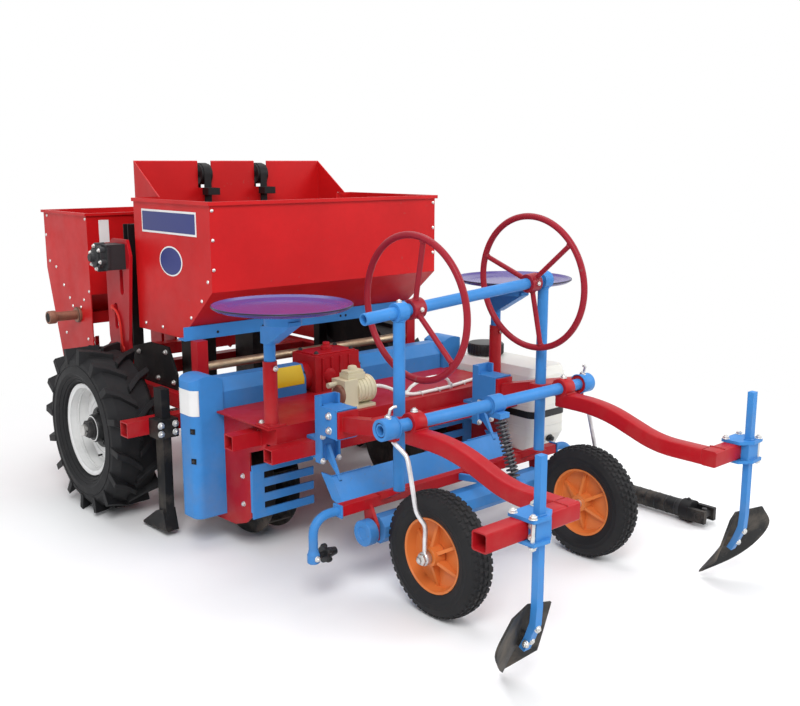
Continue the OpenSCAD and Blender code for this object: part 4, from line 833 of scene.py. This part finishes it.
# Covering arms: bent square tubes, curved blades, welds and bolts.
ARM_WAY = [(-1306, 486), (-1338, 486), (-1339, 486), (-1360, 486)]
for (y0, z0), (y1, z1), (y2, z2) in (((-1385, 486), (-1475, 486), (-1550, 460.5)),
                                     ((-1620, 436.7), (-1675, 418), (-1735, 418))):
    for k in range(11):
        a, b, c = (1 - k / 10) ** 2, 2 * (1 - k / 10) * k / 10, (k / 10) ** 2
        ARM_WAY.append((a * y0 + b * y1 + c * y2, a * z0 + b * z1 + c * z2))
ARM_WAY.append((-1828, 418))
ROWS = 30
TIP = (437, -1758, 14)
for side, s in SIDES:
    body = "covering_arm_" + side
    arm = Piece("bent_arm_" + side, body, "red")
    loops = []
    for i, (y, z) in enumerate(ARM_WAY):
        (ya, za), (yb, zb) = ARM_WAY[max(i - 1, 0)], ARM_WAY[min(i + 1, len(ARM_WAY) - 1)]
        up = Vector((0, zb - za, ya - yb)).normalized()
        up = up if up.z > 0 else -up
        # Under the pivot tube the arm's top is lower, to clear it.
        room = 23.0 if i > 1 else 17.5
        loops.append([Vector((s * ARM_X + p, y, z)) + up * min(q, room) for p, q in TUBE_EDGE])
    arm.rings(loops)
    arm.lathe((s * ARM_X, PIVOT_Y, PIVOT_Z), (s, 0, 0),
              [(18.6, -22.6), (29.6, -22.8), (31, -21), (31, 21), (29.6, 22.8), (18.6, 22.6)], 44, closed=True)
    end = 613 if s < 0 else 500
    arm.rings([[(s * x, ARM_END_Y + p * k, ARM_END_Z + q * k) for p, q in TUBE_EDGE]
               for x, k in ((296, 0.99), (298, 1.0), (end - 1, 1.0), (end, 0.98), (end, 0.85), (end - 1, 0.83),
                            (end - 110, 0.83))])
    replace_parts(arm.done(), "arm_" + side)
    blade = Piece("blade_" + side, body, "share")
    ridge, outer, inner = ([(s * x, y, z) for x, y, z in (TIP, *way)] for way in (
        ((449, -1824, 122), (453, -1856, 226)),
        ((508, -1829, 66), (564, -1869, 116), (592, -1888, 170), (543, -1889, 231)),
        ((393, -1836, 86), (394, -1874, 221))))
    ridge, outer = (spread(smooth_line(way, 6.0), ROWS) for way in (ridge, outer))
    inner = spread(inner, ROWS)
    skin = []
    for i in range(ROWS):
        run = ridge[min(i + 1, ROWS - 1)] - ridge[max(i - 1, 0)]
        face = [-s * run.cross(outer[i] - ridge[i]).normalized(), s * run.cross(inner[i] - ridge[i]).normalized()]
        face = [f if f.y < 0 else -f for f in face]
        mid = (face[0] + face[1]).normalized()
        row = [(inner[i].lerp(ridge[i], k / 4), face[1]) for k in range(4)] + [(ridge[i], mid)]
        row += [(ridge[i].lerp(outer[i], k / 6), face[0]) for k in range(1, 7)]
        skin.append([p + f * 2.6 for p, f in row] + [p - f * 2.6 for p, f in row[::-1]])
    blade.rings(skin)
    blade.prism([(s * 444, y, z) for y, z in ((-1840, 118), (-1856, 152), (-1833, 152), (-1821, 118))], (s * 18, 0, 0))
    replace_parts(blade.done(50), "shovel_" + side)
    seam = Piece("arm_welds_" + side, body, "red")
    seam.weld([(s * 341.6, -1827, 395), (s * 341.6, -1827, 441), (s * 341.6, -1873, 441)])
    seam.weld([(s * 295, -1350, 510), (s * 341, -1350, 510)], 2.2)
    seam.done()
    zinc = Piece("arm_bolts_" + side, body, "zinc")
    zinc.bolt((s * ARM_X, PIVOT_Y, 554), (0, 0, 1), 10)
    for x, y in ((413, -1832), (486, -1832), (486, -1892)):
        zinc.bolt((s * x, y, 450), (0, 0, 1), 10)
        zinc.bolt((s * x, y, 386), (0, 0, -1), 10)
        zinc.tube([(s * x, y, 388), (s * x, y, 448)], 5, 10)
    for z in (404, 432):
        zinc.bolt((s * 479, -1884, z), (s, 0, 0), 9)
    for y, z in ((-1884, 176), (-1866, 140)):
        zinc.bolt((s * 453, y, z), (0, -1, 0.42), 9)
    zinc.bolt((s * 464, -1862, 134), (s, 0, 0), 9)
    zinc.done()
    bead = Piece("post_welds_" + side, body, "blue")
    for z in (451, 385):
        bead.weld([(s * x, y, z) for x, y in ((441.5, -1891.5), (464.5, -1891.5), (464.5, -1872.5), (441.5, -1872.5))],
                  closed=True)
    bead.done()

# Spray tank: moulding seams, strap, drain tap and ribbed lid.
mould_line = Piece("tank_seam", "frame", "tank")
outline = [(x + 36.2 * math.cos(a), y + 36.2 * math.sin(a))
           for x, y, first in ((680, -644, 0), (567, -644, 90), (567, -982, 180), (680, -982, 270))
           for a in map(math.radians, range(first, first + 91, 10))]
for z, r in ((362, 1.7), (284, 1.2), (440, 1.2)):
    mould_line.tube([(x, y, z) for x, y in outline], r, 8, closed=True)
mould_line.done()
strap = Piece("tank_strap", "frame", "dark")
strap.rings([[(x + (x - 623) * k / 92, y + (y + 813) * k / 205, z) for x, y in outline]
             for k, z in ((0, 318), (1.2, 319), (1.2, 343), (0, 344))], closed=True)
strap.lathe((623, -1018, 236), (0, -1, 0), [(14, -6), (14, 3), (9, 5), (9, 14), (6, 16)], 18)
strap.done()
cap = Piece("lid_ribs", "lid", "dark")
LID_X, LID_Y, LID_Z = 623.5, -690, 502
cap.lathe((LID_X, LID_Y, LID_Z), (0, 0, 1), [(66.5, 0.2), (67.6, 3), (67.6, 38), (64, 43), (50, 43.8), (30, 43.9),
                                             (0.5, 43.9), (0.5, 30.5), (60.8, 30.5), (60.8, 0.2)], 72, closed=True)
for c, d in around(36):
    cap.lathe((LID_X + 67.2 * c, LID_Y + 67.2 * d, LID_Z + 4), (0, 0, 1),
              [(2.2, 0), (2.5, 2), (2.5, 32), (1.6, 35)], 8)
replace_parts(cap.done(), "tank_lid")

# Loose drive shaft: cross, caps, clamp bolts and the guard's ribs.
SHAFT_X, SHAFT_Z = 825, 38
shaft = Piece("shaft_details", "frame", "grey")
for y, k in ((-1560, 1), (-900, -1)):
    shaft.lathe((SHAFT_X, y + k * 22, SHAFT_Z), (1, 0, 0),
                [(16, -38.6), (16, -36), (13, -34), (13, 34), (16, 36), (16, 38.6)], 24)
    shaft.tube([(SHAFT_X, y + k * 22, 20), (SHAFT_X, y + k * 22, 60)], 9, 14)
    shaft.lathe((SHAFT_X, y + k * 64, SHAFT_Z), (0, k, 0),
                [(34, 0), (37.4, 3), (37.4, 30), (34, 36), (31, 40), (31, 60), (30.4, 62)], 36)
    shaft.bolt((SHAFT_X, y + k * 84, 74.6), (0, 0, 1), 8, washer=False)
shaft.done()
guard = Piece("shaft_guard_ribs", "frame", "dark")
for i in range(11):
    guard.lathe((SHAFT_X, -1440 + 42 * i, SHAFT_Z), (0, 1, 0), [(29.8, -3), (31, -1.6), (31, 1.6), (29.8, 3)], 36,
                closed=True)
guard.done()

# Hitch: rings on the lower pins, mast bolts.
hitch = Piece("hitch_bits", "frame", "zinc")
for _, s in SIDES:
    hitch.tube([(s * 406, 730 + 13.5 * c, 420 + 13.5 * d) for c, d in CIRCLE[::2]], 2, 8, closed=True)
    for x, y, z in ((341.5, 655, 412), (341.5, 655, 470), (38, 660, 420), (38, 660, 500)):
        hitch.bolt((s * x, y, z), (s, 0, 0), 12)
hitch.done()

# Pale floor that fades to the white backdrop.
floor_mesh = bpy.data.meshes.new("floor")
floor_mesh.from_pydata([(-14, -14, 0), (14, -14, 0), (14, 14, 0), (-14, 14, 0)], [], [(0, 1, 2, 3)])
floor = bpy.data.objects.new("floor", floor_mesh)
scene.collection.objects.link(floor)
floor.location.z = -0.0005
f = Nodes("floor")
f.bsdf.inputs["Roughness"].default_value = 0.9
f.bsdf.inputs["Specular IOR Level"].default_value = 0.1
f.colour(f.mix(f.ramp(f.noise(1.5), 0.3, 0.7), (0.93, 0.93, 0.93), (0.96, 0.96, 0.96)))
reach = f.add("VectorMath", operation="LENGTH")
f.link(f.coord, reach.inputs[0])
glow = f.add("Emission", Strength=1.0)
path = f.add("LightPath")
seen = f.math("MAXIMUM", path.outputs["Is Camera Ray"], path.outputs["Is Glossy Ray"])
seen = f.math("MAXIMUM", seen, path.outputs["Is Transmission Ray"])
blend = f.add("MixShader")
f.link(f.math("MULTIPLY", f.ramp(reach.outputs["Value"], 1.3, 2.6), seen), blend.inputs[0])
f.link(f.bsdf.outputs[0], blend.inputs[1])
f.link(glow.outputs[0], blend.inputs[2])
f.link(blend.outputs[0], f.tree.nodes["Material Output"].inputs["Surface"])
floor_mesh.materials.append(f.mat)

# Soft sky light; seen straight, in gloss or through clear pieces the backdrop is white.
world = bpy.data.worlds.new("world")
scene.world = world
world.use_nodes = True
wt = world.node_tree
back = wt.nodes["Background"]
back.inputs["Color"].default_value = (0.95, 0.97, 1.0, 1.0)
back.inputs["Strength"].default_value = 0.55
white = wt.nodes.new("ShaderNodeBackground")
white.inputs["Color"].default_value = (1, 1, 1, 1)
white.inputs["Strength"].default_value = 1.0
path = wt.nodes.new("ShaderNodeLightPath")
seen = path.outputs["Is Camera Ray"]
for ray in ("Is Glossy Ray", "Is Transmission Ray"):
    either = wt.nodes.new("ShaderNodeMath")
    either.operation = "MAXIMUM"
    wt.links.new(seen, either.inputs[0])
    wt.links.new(path.outputs[ray], either.inputs[1])
    seen = either.outputs[0]
pick = wt.nodes.new("ShaderNodeMixShader")
wt.links.new(seen, pick.inputs[0])
wt.links.new(back.outputs[0], pick.inputs[1])
wt.links.new(white.outputs[0], pick.inputs[2])
wt.links.new(pick.outputs[0], wt.nodes["World Output"].inputs["Surface"])


def lamp(name, at, to, power, size):
    """Square area lamp aimed at a place, in metres."""
    data = bpy.data.lights.new(name, "AREA")
    data.energy = power
    data.size = size
    o = bpy.data.objects.new(name, data)
    o.location = at
    o.rotation_euler = (Vector(to) - Vector(at)).to_track_quat("-Z", "Y").to_euler()
    scene.collection.objects.link(o)


lamp("key", (-3.0, -3.4, 4.4), (0, -0.2, 0.6), 190, 2.4)
lamp("fill", (3.6, -3.4, 3.0), (0, -0.3, 0.5), 90, 3.0)
lamp("top", (0.4, 0.8, 5.0), (0, 0, 0.4), 120, 4.0)
